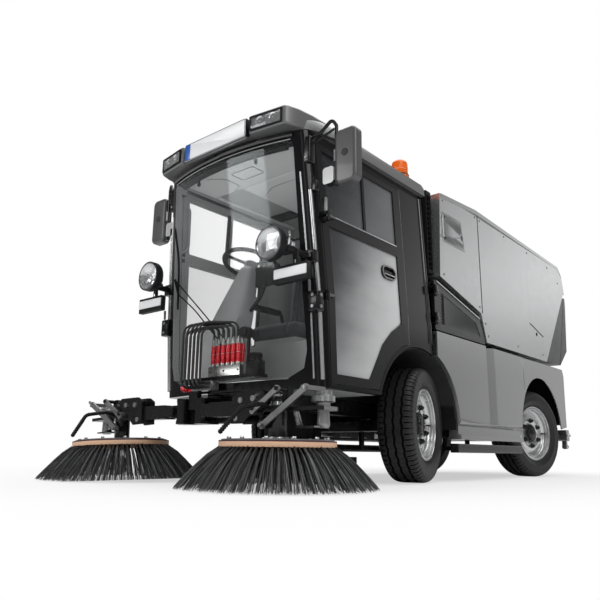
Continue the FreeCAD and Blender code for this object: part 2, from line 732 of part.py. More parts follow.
def rear_fender(side):
    x0 = skirt_rear - seam
    outer = side_profile([(x0, skirt_top), (x0, skirt_bottom + 10), (fender_rear, skirt_bottom + 150),
                          (fender_rear - 30, skirt_top - 60), (fender_rear, skirt_top)], 0, body_half)
    outer = outer.cut(arch_cut(rear_arch_x, rear_arch_radius))
    inner = box(-3000, x0 + 1, -1, body_half - 14, 0, skirt_top - 14)
    shape = outer.cut(inner).cut(box(-3000, 0, -1, fender_inner, 0, 2000))
    if side < 0:
        shape = mirrored(shape)
    return shape


def body_deck():
    """Flat deck over the rails that carries the skirts, fenders and rear panel."""
    half = fender_inner - 0.3
    deck = box(fender_rear, -900, -half, half, skirt_top - 14, skirt_top)
    hole = duct_half + 6
    deck = deck.cut(box(duct_rise_x - hole, duct_rise_x + hole, -hole, hole, 800, 1100))
    pads = [box(x, x + 50, y - 25, y + 25, skirt_top, hopper_bottom - 0.3)
            for x in (-980, -1800) for y in (-215, 215)]
    legs = [box(x, x + 20, y - 30, y + 30, rail_top, skirt_top - 14)
            for x in (-960, -1500, -2300) for y in (-215, 215)]
    panel = box(fender_rear, fender_rear + 12, -bay_half, bay_half, 440, skirt_top - 14)
    panel = panel.cut(box(fender_rear - 1, fender_rear + 13, -260, 260, rail_bottom, rail_top + 0.3))
    deck = deck.cut(box(tip_x - 110, tip_x + 110, -258, -170, 0, 2000))
    deck = deck.cut(box(tip_x - 110, tip_x + 110, 170, 258, 0, 2000))
    reach = body_half - 90 - 0.3
    braces = [box(x, x + 12, y0, y1, 600, skirt_top - 14) for x in (-1550, -962)
              for y0, y1 in ((190, reach), (-reach, -190))]
    return joined([deck, panel] + legs + braces + pads)


def sill_rail(side):
    """Side guard below the skirt, on brackets that hang from the chassis rail."""
    pieces = [round_edges(box(-1440, -358, body_half - 60, body_half, 182, 240), 8, (1, 0, 0))]
    foot = rail_y + rail_width + 0.3
    for x in (-600, -1300):
        pieces.append(box(x, x + 40, foot, foot + 24, 196, rail_top - 20))
        pieces.append(box(x, x + 40, foot, body_half - 50, 196, 226))
    shape = joined(pieces)
    return shape if side > 0 else mirrored(shape)


def rear_bumper():
    reach = body_half - 20
    beam = round_edges(box(-2640, -2565, -reach, reach, 300, 400), 15, (0, 1, 0))
    stubs = [rod((-2570, y, 250), (-1, 0, 0), 22, 62) for y in (-bay_half, bay_half)]
    feet = [box(-2588, rail_rear, y - 40, y + 40, 380, rail_top) for y in (-215, 215)]
    hangers = [box(-2600, -2575, y - 20, y + 20, 232, 310) for y in (-bay_half, bay_half)]
    lamps = [round_edges(box(-2654, -2638, y - 75, y + 75, 316, 384), 12, (1, 0, 0)) for y in (-540, 540)]
    return joined([beam] + stubs + feet + hangers + lamps)


def engine_block():
    return box(-800, -290, -160, 160, duct_z + duct_half + 20, 1050)


def engine_bay():
    """Fixed frame round the engine: two bulkheads, feet on the rails and a sloped lid."""
    low = body_half - 90 - 0.3
    waist = skirt_top + seam
    walls = [box(-150, -138, -low, low, rail_top, waist), box(-150, -138, -bay_half, bay_half, waist, 1288),
             box(-890, -878, -low, low, rail_top, waist), box(-890, -878, -bay_half, bay_half, waist, 974)]
    lid = side_profile([(-150, 1296), (-150, 1284), (-800, 1136), (-878, 972), (-890, 972),
                        (-812, 1148)], -bay_half, bay_half)
    shelf = [box(-890, -138, y0, y1, rail_top, rail_top + 8) for y0, y1 in ((178, 252), (-252, -178))]
    top = duct_z + duct_half + 20
    mounts = [box(x, x + 60, y - 18, y + 18, rail_top + 4, top)
              for x in (-760, -390) for y in (-196, 196)]
    mounts += [box(x, x + 60, y0, y1, top - 14, top) for x in (-760, -390)
               for y0, y1 in ((120, 214), (-214, -120))]
    shape = joined(walls + [lid] + shelf + mounts)
    hole = duct_half + 6
    shape = shape.cut(box(-1000, -100, -hole, hole, duct_z - hole, duct_z + hole))
    shape = shape.cut(arch_cut(front_arch_x, front_arch_radius + 10))
    ears = []
    for side in (1, -1):
        for z in engine_hinge_levels:
            low, high = sorted((side * (bay_half - 10), side * (engine_hinge_y + 7)))
            for z0 in (z - 9.7, z + 40):
                ears.append(box(-150, engine_hinge_x + 7, low, high, z0, z0 + 9.4))
            ears.append(rod((engine_hinge_x, side * engine_hinge_y, z - 9), (0, 0, 1), 5, 58))
    return joined([shape] + ears)


def engine_door(side):
    """Hinged side cover: its top edge follows the slope under the hopper."""
    outline = [(-124, 960), (-124, 1298), (-800, 1140), (-874, 988), (-874, 960)]
    leaf = side_profile(outline, body_half - 30, body_half - 6)
    leaf = round_edges(leaf, 10, (0, 1, 0))
    recess = side_profile([(-170, 990), (-170, 1254), (-775, 1113), (-836, 990)], body_half - 31, body_half - 16)
    leaf = leaf.cut(recess)
    field = [(-262, 1008), (-262, 1212), (-738, 1101), (-800, 1008)]
    leaf = leaf.cut(side_profile(field, body_half - 10, body_half))
    leaf = leaf.cut(side_profile([(-216, 1008), (-216, 1222), (-250, 1214), (-250, 1008)], body_half - 12, body_half))
    x, y = engine_hinge_x, engine_hinge_y
    for z in engine_hinge_levels:
        leaf = leaf.cut(box(x - 25, -100, body_half - 150, body_half + 50, z - 15, z + 55))
        strap = box(x - 50, x, y - 8, y + 9, z, z + 39.7)
        barrel = rod((x, y, z), (0, 0, 1), 9, 39.7)
        leaf = joined([leaf, strap, barrel]).cut(rod((x, y, z - 20), (0, 0, 1), 5.05, 80))
    return leaf if side > 0 else mirrored(leaf)


# Suction: mouth behind the brooms and the duct to the hopper
def suction_mouth():
    """Low hood across the machine, hung from the rails, with the neck that takes the duct."""
    hood = plan_profile([(330, -330), (330, 330), (575, 365), (610, 365), (610, -365), (575, -365)], 14, 150)
    hood = hood.cut(box(350, 595, -320, 320, 0, 135))
    neck = box(mouth_x - duct_half - 10, mouth_x + duct_half + 10, -duct_half - 10, duct_half + 10, 140, 260)
    bore = duct_half - duct_wall
    hangers = [rod((580, y, 140), (0, 0, 1), 12, rail_bottom - 140.3) for y in (-215, 215)]
    return joined([hood, neck] + hangers).cut(box(mouth_x - bore, mouth_x + bore, -bore, bore, 100, 300))


def duct_form(half, low, high):
    """Square trunking: up from the mouth, level to the rear and up again, with mitred elbows."""
    front, rear, corner = mouth_x, duct_rise_x, duct_corner
    points = [(front + half, low), (front + half, duct_z + half - corner), (front + half - corner, duct_z + half),
              (rear + half, duct_z + half), (rear + half, high), (rear - half, high),
              (rear - half, duct_z - half + corner), (rear - half + corner, duct_z - half),
              (front - half, duct_z - half), (front - half, low)]
    return side_profile(points, -half, half)


def suction_duct():
    """Duct from the mouth, over the front axle and under the engine, up to the hopper."""
    outer = duct_form(duct_half, 260.3, hopper_bottom - 0.3)
    return outer.cut(duct_form(duct_half - duct_wall, 250, hopper_bottom + 10))


# Hopper
def hopper_shell():
    points = [(-206, 1336), (-246, 1950), (-820, hopper_top), (-2660, 1974), (-2748, 1905),
              (-2792, gate_lip), (-2760, gate_lip), (hopper_tail_x, hopper_bottom), (-896, hopper_bottom),
              (-828, 1186)]
    outer = side_profile(points, -body_half, body_half)
    for side in (1, -1):
        bevel = end_profile([(side * (body_half - 42), 2010), (side * (body_half + 5), 1940),
                             (side * (body_half + 5), 2010)], -3000, 0)
        outer = outer.cut(bevel)
    w = hopper_wall
    inside = [(-880, hopper_bottom + w), (-868, 1200), (-868, hopper_top - w), (-2650, 1974 - w),
              (-2726, 1895), (-2767, gate_lip + 2), (-2800, gate_lip - 1), (-2800, 900), (-2160, 900),
              (-2160, hopper_bottom + w)]
    cavity = side_profile(inside, -body_half + w, body_half - w)
    front = [(-232, 1366), (-270, 1926), (-820, hopper_top - w), (-843, hopper_top - w), (-843, 1214)]
    filter_room = side_profile(front, -body_half + w, body_half - w)
    shell = outer.cut(cavity).cut(filter_room)
    seam_cut = side_profile([(-838, 1190), (-838, 2010), (-844, 2010), (-844, 1190)],
                            body_half - 4, body_half + 5)
    shell = shell.cut(seam_cut).cut(mirrored(seam_cut))
    arms = []
    for y in (-400, 400):
        arms.append(rod((gate_x, y - 45, gate_z), (0, 1, 0), 7, 90))
        for y0 in (y - 45, y + 30.3):
            arms.append(side_profile([(gate_x - 12, gate_z - 8), (gate_x - 12, gate_z + 45),
                                      (gate_x + 24, gate_z + 62), (gate_x + 12, gate_z - 8)], y0, y0 + 14.7))
    for side in (1, -1):
        middle = side * (rail_y + rail_width / 2)
        arm = side_profile([(-2040, hopper_bottom), (-2040, tip_z + 28), (tip_x, tip_z + 28),
                            (tip_x, tip_z - 26), (-2160, hopper_bottom)], middle - 17.7, middle + 17.7)
        arm = joined([arm, rod((tip_x, middle - 17.7, tip_z), (0, 1, 0), 28, 35.4)])
        arms.append(arm)
    shell = joined([shell] + arms)
    for side in (1, -1):
        shell = shell.cut(rod((tip_x, -400, tip_z), (0, 1, 0), tip_pin + running_clearance, 800))
        y0, y1 = sorted((side * (body_half - 60), side * (body_half + 5)))
        shell = shell.cut(side_profile(flap_outline(0), y0, y1))
        y = side * flap_hinge_y
        for z in (1630, 1770.3):
            low, high = sorted((side * (body_half - 12), side * (body_half + 9)))
            shell = joined([shell, box(flap_hinge_x - 7, -250, low, high, z, z + 19.7)])
        shell = joined([shell, rod((flap_hinge_x, y, 1630), (0, 0, 1), 4, 160)])
    hole = duct_half - duct_wall
    return shell.cut(box(duct_rise_x - hole, duct_rise_x + hole, -hole, hole, hopper_bottom - 1, hopper_bottom + 39))


def flap_outline(gap):
    return [(-262 - gap, 1600 + gap), (-262 - gap, 1816 - gap), (-556 + gap, 1822 - gap),
            (-600 + gap, 1604 + gap)]


def hopper_flap(side):
    leaf = side_profile(flap_outline(4), body_half - 20, body_half)
    lock = rod((-560, body_half - 14, 1700), (0, 1, 0), 12, 18)
    for z in (1625, 1765):
        leaf = leaf.cut(box(flap_hinge_x - 12, -200, body_half - 18, body_half + 20, z, z + 30))
    barrel = rod((flap_hinge_x, flap_hinge_y, 1650), (0, 0, 1), 7, 120)
    leaf = joined([leaf, lock, barrel]).cut(rod((flap_hinge_x, flap_hinge_y, 1600), (0, 0, 1), 4.05, 220))
    return leaf if side > 0 else mirrored(leaf)


def intake_louvre():
    """Black louvred box on the hopper's front, with blades down its flanks."""
    half = body_half - 44
    frame = box(-196, -128, -half, half, 1350, 1944)
    frame = frame.cut(box(-190, -134, 36 - half, half - 36, 1380, 1914))
    for side in (1, -1):
        y0, y1 = sorted((side * (half - 37), side * (half + 1)))
        frame = frame.cut(box(-188, -136, y0, y1, 1380, 1914))
    blades = [box(-190, -134, 6 - half, half - 6, z, z + 6) for z in range(1400, 1910, 36)]
    spine = side_profile([(-190, 1380), (-190, 1914), (-243.3, 1914), (-208.5, 1380)], 46 - half, half - 46)
    return joined([frame, spine] + blades)


def tail_x(z):
    """The hopper's slanted rear edge at a height."""
    return hopper_tail_x - (z - hopper_bottom) * (hopper_tail_x + 2760) / (gate_lip - hopper_bottom)


def gate_seam(z):
    """The line between the tail's collar and its gate at a height."""
    return gate_bottom_x - (z - gate_bottom) * (gate_bottom_x - gate_x - 11) / (gate_top - gate_bottom)


def tipping_notch(shape):
    """Clears the tipping arms and their posts on both sides."""
    for side in (1, -1):
        middle = side * (rail_y + rail_width / 2)
        shape = shape.cut(box(-2560, -2100, middle - 55, middle + 55, 900, 1060))
    return shape


def tail_frame():
    """Collar of two wedge-shaped cheeks and a floor, bolted on the hopper's slanted edge."""
    low, high, seat = gate_bottom, gate_top, 0.5
    outer = side_profile([(tail_x(low) - seat, low), (gate_seam(low) + 5, low), (gate_seam(high) + 5, high),
                          (tail_x(high) - seat, high)], -body_half, body_half)
    inner = side_profile([(-2000, low + 22), (-2600, low + 22), (-2900, high + 10), (-2000, high + 10)],
                         -body_half + 22, body_half - 22)
    return tipping_notch(outer.cut(inner))


def tailgate():
    """Hollow cover behind the collar, hung from a hinge at its top edge."""
    points = [(gate_seam(gate_top), gate_top), (-2790, gate_top), (-2788, 1600), (-2715, 1141),
              (gate_bottom_x, gate_bottom)]
    outer = side_profile(points, -body_half, body_half)
    inner = side_profile([(-2600, gate_top - 22), (-2766, gate_top - 22), (-2764, 1598), (-2692, 1152),
                          (-2520, gate_bottom + 30), (-2400, gate_bottom + 30)], -body_half + 22, body_half - 22)
    gate = tipping_notch(outer.cut(inner))
    for y in (-400, 400):
        knuckle_bar = side_profile([(gate_x - 12, gate_z - 60), (gate_x - 12, gate_z), (gate_x + 12, gate_z),
                                    (gate_x + 30, gate_z - 60)], y - 30, y + 30)
        barrel = rod((gate_x, y - 30, gate_z), (0, 1, 0), 12, 60)
        gate = joined([gate, knuckle_bar, barrel])
        gate = gate.cut(rod((gate_x, y - 60, gate_z), (0, 1, 0), 7 + running_clearance, 120))
    return gate


# Brooms: carrier, swing links, arms with motors, discs with rings, bristles
def broom_carrier():
    beam = round_edges(box(975, 1045, -480, 260, 325, rail_bottom), 10, (0, 1, 0))
    nose = box(1040, 1112, carrier_y - pivot_spread - 30, carrier_y + pivot_spread + 30, 320, 462)
    pieces = [beam, nose]
    for side in (1, -1):
        y = carrier_y + side * pivot_spread
        for z in (320, 442):
            pieces.append(box(1100, broom_x, y - 34, y + 34, z, z + 20))
            pieces.append(rod((broom_x, y, z), (0, 0, 1), 34, 20))
        pieces.append(rod((broom_x, y, 320), (0, 0, 1), 15, 142))
    return joined(pieces)


def swing_link(side):
    """Upright boss on the carrier's pin, with a level pin for the arm."""
    y = carrier_y + side * pivot_spread
    boss = rod((broom_x, y, 340.3), (0, 0, 1), 32, 101.4)
    y0, y1 = sorted((y + side * 20, y + side * 62))
    neck = box(broom_x - 18, broom_x + 18, y0, y1, 355, 427)
    pin = rod((broom_x - 45, y + side * 62, 391), (1, 0, 0), 14, 90)
    eye = rod((broom_x - 18, y + side * 62, 391), (1, 0, 0), 34, 36)
    link = joined([boss, neck, eye, pin])
    return link.cut(rod((broom_x, y, 300), (0, 0, 1), 15 + running_clearance, 200))


def end_bar(a, b, half, x0, x1):
    """A flat bar with round eyes between two (y, z) points, carried from x0 to x1."""
    run = math.hypot(b[0] - a[0], b[1] - a[1])
    w = ((a[1] - b[1]) / run * half, (b[0] - a[0]) / run * half)
    corners = [(a[0] + w[0], a[1] + w[1]), (b[0] + w[0], b[1] + w[1]), (b[0] - w[0], b[1] - w[1]),
               (a[0] - w[0], a[1] - w[1])]
    eyes = [rod((x0, y, z), (1, 0, 0), half + 3, x1 - x0) for y, z in (a, b)]
    return joined([end_profile(corners, x0, x1)] + eyes)


def coil_spring(start, end, radius, wire, turns):
    """A coil spring on its guide rod, as a turned row of rounded ridges."""
    line = V(*end) - V(*start)
    step = line.Length / turns
    outline = [V(0, 0, 0), V(radius, 0, 0)]
    for i in range(turns):
        z = step * (i + 0.5)
        outline += [V(radius, 0, z - wire), V(radius + wire, 0, z), V(radius, 0, z + wire)]
    outline += [V(radius, 0, line.Length), V(0, 0, line.Length), V(0, 0, 0)]
    spring = Part.Face(Part.makePolygon(outline)).revolve(V(0, 0, 0), V(0, 0, 1), 360)
    turn = FreeCAD.Rotation(V(0, 0, 1), line)
    spring.Placement = FreeCAD.Placement(V(*start), turn)
    return spring


def head_gear(side):
    """On the broom's head: cheek plates, the forked bars, an outer strut with its spring, and the hand lever."""
    end = carrier_y + side * broom_reach

    def out(s):
        return end + side * s
    pieces = []
    cheek = [(-276, 312), (-276, 449), (-232, 474), (-66, 480), (-46, 462), (-46, 366), (-150, 350), (-190, 312)]
    for x0 in (broom_x - 38, broom_x + 46):
        plate = end_profile([(out(s), z) for s, z in cheek], x0, x0 + 12)
        pieces.append(round_edges(plate, 14, (1, 0, 0), lambda c: c.z > 440))
    for s, z in ((-210, 430), (-120, 436), (-240, 340)):
        pieces.append(rod((broom_x - 40, out(s), z), (1, 0, 0), 15, 106))
    cap = [(0, 417), (40, 417), (40, 440), (30, 452), (0, 452)]
    motor_cap = Part.Face(Part.makePolygon([V(r, 0, z) for r, z in cap + cap[:1]])).revolve(V(0, 0, 0), V(0, 0, 1), 360)
    pieces.append(moved(motor_cap, broom_x, end, 0))
    for s in (-22, 22):
        pieces.append(tube_path([(broom_x + 20, end + s, 440), (broom_x + 20, end + s, 470),
                                 (broom_x + 20 - s, out(-110), 470), (broom_x + 20 - s, out(-250), 446)], 7, 24))
    pieces.append(end_bar((out(-40), 300), (out(235), 470), 15, broom_x + 64, broom_x + 78))
    pieces.append(end_bar((out(-96), 370), (out(66), 474), 13, broom_x + 80, broom_x + 92))
    pieces.append(rod((broom_x, out(-40), 300), (1, 0, 0), 14, 84))
    pieces.append(rod((broom_x + 50, out(-96), 384), (1, 0, 0), 12, 50))
    pieces.append(rod((broom_x, out(66), 474), (1, 0, 0), 11, 98))
    pieces.append(box(broom_x - 20, broom_x + 20, *sorted((out(40), out(80))), 392, 486))
    y0, y1 = sorted((out(60), out(300)))
    pieces.append(round_edges(box(broom_x - 110, broom_x + 40, y0, y1, 368, 386), 24, (0, 0, 1)))
    strut = [(0, 286), (26, 286), (32, 300), (28, 372), (34, 388), (34, 404), (58, 410), (58, 436), (44, 444),
             (44, 462), (0, 462)]
    strut = Part.Face(Part.makePolygon([V(r, 0, z) for r, z in strut + strut[:1]])).revolve(V(0, 0, 0), V(0, 0, 1), 360)
    pieces.append(moved(strut, broom_x - 50, out(245), 0))
    pieces.append(box(broom_x - 50, broom_x + 78, out(245) - 12, out(245) + 12, 458, 480))
    pieces.append(box(broom_x - 60, broom_x + 20, *sorted((out(130), out(245))), 288, 296))
    pieces.append(coil_spring((broom_x, out(140), 294), (broom_x, out(112), 370), 12, 5, 8))
    pieces.append(tube_path([(broom_x + 48, end, 384), (broom_x + 120, end - 4, 400), (broom_x + 250, end - 10, 378),
                             (broom_x + 250, end - 60, 336)], 11, 26))
    pieces.append(coil_spring((broom_x + 250, end - 44, 349), (broom_x + 250, end - 152, 262), 10, 3, 9))
    return pieces


def broom_arm(side, tilt):
    """Beam from the level pin to the head, which holds the broom's motor."""
    y = carrier_y + side * (pivot_spread + 62)
    end = carrier_y + side * broom_reach
    pieces = []
    for x in (broom_x - 44, broom_x + 18.3):
        y0, y1 = sorted((y, end - side * 60))
        cheek = box(x, x + 25.7, y0, y1, 360, 422)
        pieces.append(cheek)
        pieces.append(rod((x, y, 391), (1, 0, 0), 31, 25.7))
    y0, y1 = sorted((y + side * 50, end - side * 60))
    pieces.append(box(broom_x - 44, broom_x + 44, y0, y1, 352, 430))
    head = box(broom_x - 60, broom_x + 60, end - 85, end + 85, 366, 396)
    head = round_edges(head, 30, (0, 0, 1))
    motor = rod((broom_x, end, broom_ring_z + 52), (0, 0, 1), 46, 170)
    head = turned(joined([head, motor] + head_gear(side)), (broom_x, end, 391), (1, 0, 0), -side * tilt)
    shaft = turned(rod((broom_x, end, broom_ring_z + 26), (0, 0, 1), 20, 60),
                   (broom_x, end, 391), (1, 0, 0), -side * tilt)
    arm = joined(pieces + [head, shaft])
    return arm.cut(rod((broom_x - 60, y, 391), (1, 0, 0), 14 + running_clearance, 120))


def broom_disc(side, tilt):
    """Steel disc on the motor's shaft with the wooden ring under it."""
    end = carrier_y + side * broom_reach
    z = broom_ring_z
    disc = rod((broom_x, end, z + broom_ring_height), (0, 0, 1), broom_ring_radius - 12, 8)
    hub = rod((broom_x, end, z + broom_ring_height), (0, 0, 1), 60, 20)
    ring = rod((broom_x, end, z), (0, 0, 1), broom_ring_radius, broom_ring_height)
    ring = ring.cut(rod((broom_x, end, z - 1), (0, 0, 1), broom_ring_radius - 90, broom_ring_height + 2))
    shape = joined([disc, hub, ring])
    shape = shape.cut(rod((broom_x, end, z), (0, 0, 1), 20 + running_clearance, 60))
    return turned(shape, (broom_x, end, 391), (1, 0, 0), -side * tilt)


def tuft(top, foot, top_radius, foot_radius):
    """A six-sided tapered tuft between two points."""
    axis = foot - top
    across = axis.cross(V(0, 0, 1))
    across.normalize()
    over = across.cross(axis)
    over.normalize()
    high, low = [[centre + across * (radius * math.cos(a)) + over * (radius * math.sin(a))
                  for a in (math.pi / 3 * i for i in range(6))]
                 for centre, radius in ((top, top_radius), (foot, foot_radius))]
    faces = [Part.Face(Part.makePolygon(ring + ring[:1])) for ring in (high, low)]
    for i in range(6):
        k = (i + 1) % 6
        faces.append(Part.Face(Part.makePolygon([high[i], low[i], low[k], high[k], high[i]])))
    return Part.Solid(Part.makeShell(faces))


def bristles(side, tilt):
    """Flared tufts under the ring, trimmed to the floor."""
    end = carrier_y + side * broom_reach
    z = broom_ring_z
    root, reach = broom_ring_radius - 30, bristle_radius - 6.7
    tufts = []
    for i in range(tuft_count):
        a = 2 * math.pi * i / tuft_count
        top = V(broom_x + root * math.cos(a), end + root * math.sin(a), z)
        foot = V(broom_x + reach * math.cos(a), end + reach * math.sin(a), -30)
        tufts.append(tuft(top, foot, 14, 36))
    band = [(broom_ring_radius - 70, z - 14), (broom_ring_radius - 4, z - 14), (broom_ring_radius - 4, z - 0.3),
            (broom_ring_radius - 70, z - 0.3)]
    band = moved(facet_ring(band, "z", tuft_count), broom_x, end, 0)
    brush = band.multiFuse(tufts)
    brush = brush.common(box(broom_x - 700, broom_x + 700, end - 700, end + 700, -100, z - 0.3))
    brush = turned(brush, (broom_x, end, 391), (1, 0, 0), -side * tilt)
    return brush.common(box(broom_x - 800, broom_x + 800, end - 800, end + 800, 0.5, 400))


# Hydraulics at the front
def coupling_block():
    """Base plate with the row of quick couplings, the socket box and the port block below."""
    base = box(1118, 1200, carrier_y - 36, 330, 548, 566)
    block = box(1134, 1192, coupling_y - 20, coupling_y + coupling_pitch * coupling_count - 16, 566, 622)
    post = box(1112.3, 1145, carrier_y - 36, carrier_y + 36, 400, 548)
    ports = box(1136, port_x, port_y - 16, port_y + port_pitch * 4 + 16, 498, 548)
    sockets = round_edges(box(1124, 1184, 226, 318, 566, 636), 8, (0, 0, 1))
    plug = rod((1154, 272, 636), (0, 0, 1), 36, 40)
    mast = box(1146, 1158, 209, 221, 566, 790)
    connector = rod((1140, 215, 790), (1, 0, 0), 27, 62)
    pieces = [base, block, post, ports, sockets, plug, mast, connector]
    sleeve = [(0, 622), (12.5, 622), (12.5, 634), (11, 638), (11, 668), (13, 672), (13, 712), (11, 716), (11, 740),
              (8, 744), (8, coupling_top), (0, coupling_top)]
    sleeve = Part.Face(Part.makePolygon([V(r, 0, z) for r, z in sleeve + sleeve[:1]])).revolve(V(0, 0, 0), V(0, 0, 1), 360)
    for x in coupling_rows:
        pieces += [moved(sleeve, x, coupling_y + coupling_pitch * i, 0) for i in range(coupling_count)]
    return joined(pieces)


def hydraulic_hoses():
    """Hoses from the couplings, up over the bundle and down to the ports below the base plate."""
    hoses = []
    for row, start_x in enumerate(coupling_rows):
        crown, out_x, port_z = 838 + 24 * row, 1262 + 22 * row, 534 - 22 * row
        for i in range(5):
            y, foot = coupling_y + coupling_pitch * i, port_y + port_pitch * i
            points = [(start_x, y, coupling_top), (start_x, y, crown), (out_x, foot, crown),
                      (out_x, foot, port_z), (port_x, foot, port_z)]
            hoses.append(tube_path(points, hose_radius, hose_bend))
    return Part.makeCompound(hoses)


def build():
    export("chassis_frame", chassis_frame())
    export("axles", Part.makeCompound([axle(0.0), axle(-wheelbase)]))
    for end, x, steer in (("front", 0.0, front_steer), ("rear", -wheelbase, rear_steer)):
        for name, side in (("left", 1), ("right", -1)):
            tag = end + "_" + name
            export("knuckle_" + tag, knuckle(x, side, steer))
            export("rim_" + tag, rim(x, side, steer))
            export("tyre_" + tag, tyre(x, side, steer))
    export("cab_frame", cab_frame())
    export("cab_floor", cab_floor())
    export("wheel_arches", wheel_arches())
    export("cab_roof", cab_roof())
    export("cab_glass", cab_glass())
    export("roof_lamps", roof_lamps())
    export("number_plate", number_plate())
    export("beacon", beacon())
    export("work_lamps", work_lamps())
    export("seat_cushion", seat_cushion())
    export("seat_back", seat_back())
    export("dashboard", dashboard())
    export("steering_wheel", steering_wheel())
    export("engine_block", engine_block())
    export("engine_bay", engine_bay())
    export("body_deck", body_deck())
    export("rear_bumper", rear_bumper())
    export("suction_mouth", suction_mouth())
    export("suction_duct", suction_duct())
    export("hopper_shell", hopper_shell())
    export("intake_louvre", intake_louvre())
    export("tail_frame", tail_frame())
    export("tailgate", tailgate())
    export("broom_carrier", broom_carrier())
    export("coupling_block", coupling_block())
    export("hydraulic_hoses", hydraulic_hoses())
    for name, make in (("mirrors", mirror), ("side_skirts", side_skirt), ("rear_fenders", rear_fender),
                       ("sill_rails", sill_rail)):
        export(name, Part.makeCompound([make(1), make(-1)]))
    for name, side, tilt in (("left", 1, 0.0), ("right", -1, broom_tilt)):
        export("door_" + name, cab_door(side))
        export("door_glass_" + name, door_glass(side))
        export("engine_door_" + name, engine_door(side))
        export("hopper_flap_" + name, hopper_flap(side))
        export("swing_link_" + name, swing_link(side))
        export("broom_arm_" + name, broom_arm(side, tilt))
        export("broom_disc_" + name, broom_disc(side, tilt))
        export("bristles_" + name, bristles(side, tilt))


build()
whole = Part.makeCompound(everything).optimalBoundingBox()
print("whole x %.1f %.1f y %.1f %.1f z %.1f %.1f  middle %.2f %.2f  nodes %d" % (
    whole.XMin, whole.XMax, whole.YMin, whole.YMax, whole.ZMin, whole.ZMax,
    (whole.XMin + whole.XMax) / 2, (whole.YMin + whole.YMax) / 2, len(everything)))
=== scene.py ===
import bmesh
import bpy
import json
import math
import numpy as np
from mathutils import Matrix


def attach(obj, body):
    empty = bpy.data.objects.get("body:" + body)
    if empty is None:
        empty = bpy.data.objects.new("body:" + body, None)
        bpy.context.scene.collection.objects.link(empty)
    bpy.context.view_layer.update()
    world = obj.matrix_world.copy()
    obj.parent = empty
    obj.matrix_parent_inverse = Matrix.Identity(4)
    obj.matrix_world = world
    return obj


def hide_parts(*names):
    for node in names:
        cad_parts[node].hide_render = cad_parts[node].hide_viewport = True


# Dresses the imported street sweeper. Points are in metres from the floor under the front axle's middle:
# x forwards, y to the vehicle's left, z up. build() moves them into the frame's own place.
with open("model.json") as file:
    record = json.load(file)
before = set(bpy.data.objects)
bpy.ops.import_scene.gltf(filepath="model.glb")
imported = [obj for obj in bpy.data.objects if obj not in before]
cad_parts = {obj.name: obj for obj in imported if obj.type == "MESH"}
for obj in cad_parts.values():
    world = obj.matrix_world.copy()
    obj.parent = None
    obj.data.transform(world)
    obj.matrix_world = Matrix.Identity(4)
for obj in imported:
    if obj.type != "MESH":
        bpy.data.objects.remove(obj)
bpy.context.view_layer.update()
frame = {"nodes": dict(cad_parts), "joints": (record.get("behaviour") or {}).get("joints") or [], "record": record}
print("frame loaded")

random = np.random.default_rng(7)
joints = {j["name"]: j for j in frame["joints"]}
kingpins = np.array([joints["steer_front_" + s]["pos_m"] for s in ("left", "right")])
shift = kingpins.mean(0) * [1, 1, 0]
sides = {"left": 1, "right": -1}
ends = ("front", "rear")


# Mesh tools

meshSizes = {"weld": 1e-5, "nodeWeld": 2e-5, "flatDegrees": 0.6, "bevelDegrees": 35}


# Quads of a grid of rows by columns points; a closed direction joins its last line to its first.
def gridFaces(rows, columns, closeRows=False, closeColumns=False):
    i = np.arange(rows if closeRows else rows - 1)[:, None]
    j = np.arange(columns if closeColumns else columns - 1)[None, :]
    a = i * columns + j
    b = i * columns + (j + 1) % columns
    c = ((i + 1) % rows) * columns + (j + 1) % columns
    d = ((i + 1) % rows) * columns + j
    return np.stack([a, b, c, d], axis=-1).reshape(-1, 4).tolist()


# A shape from a grid of points [row, column, xyz].
def surface(points, closeRows=False, closeColumns=False):
    rows, columns = points.shape[:2]
    return points.reshape(-1, 3), gridFaces(rows, columns, closeRows, closeColumns)


# A tube of closed rings [ring, around, xyz] with a flat cap at each end.
def capped(points):
    verts, faces = surface(points, closeColumns=True)
    rows, columns = points.shape[:2]
    first, last = list(range(columns)), list(range((rows - 1) * columns, rows * columns))
    return verts, faces + [first[::-1], last]


# Turns (radius, height) points about z; a closed profile joins its last point to its first.
def lathe(profile, segments=48, closed=True):
    p = np.asarray(profile, float)
    a = np.linspace(0, 2 * np.pi, segments, endpoint=False)
    grid = np.stack([p[:, :1] * np.cos(a), p[:, :1] * np.sin(a), np.repeat(p[:, 1:], segments, 1)], -1)
    return surface(grid, closeRows=closed, closeColumns=True)


# A rounded box: corner arcs of a sphere of that radius, pushed out to the eight corners.
def block(centre, size, radius=0.004, steps=3):
    half = np.asarray(size, float) / 2
    radius = min(radius, 0.98 * half.min())
    core = half - radius
    quarter = np.linspace(0, np.pi / 2, steps + 1)
    around = np.concatenate([quarter + k * np.pi / 2 for k in range(4)])
    signX = np.repeat([1, -1, -1, 1], steps + 1)
    signY = np.repeat([1, 1, -1, -1], steps + 1)
    height = np.concatenate([quarter - np.pi / 2, quarter])
    signZ = np.repeat([-1, 1], steps + 1)
    ring = np.cos(height)[:, None]
    x = core[0] * signX + radius * ring * np.cos(around)
    y = core[1] * signY + radius * ring * np.sin(around)
    z = (core[2] * signZ + radius * np.sin(height))[:, None] + np.zeros_like(x)
    return capped(np.stack([x, y, z], -1) + np.asarray(centre, float))


# A flat outline in the xy or xz plane given a thickness along the third axis, between two depths.
def outlinePlate(outline, depths, plane="xy"):
    rings = []
    for depth in depths:
        rings.append([(a, b, depth) if plane == "xy" else (a, depth, b) for a, b in outline])
    return capped(np.array(rings, float))


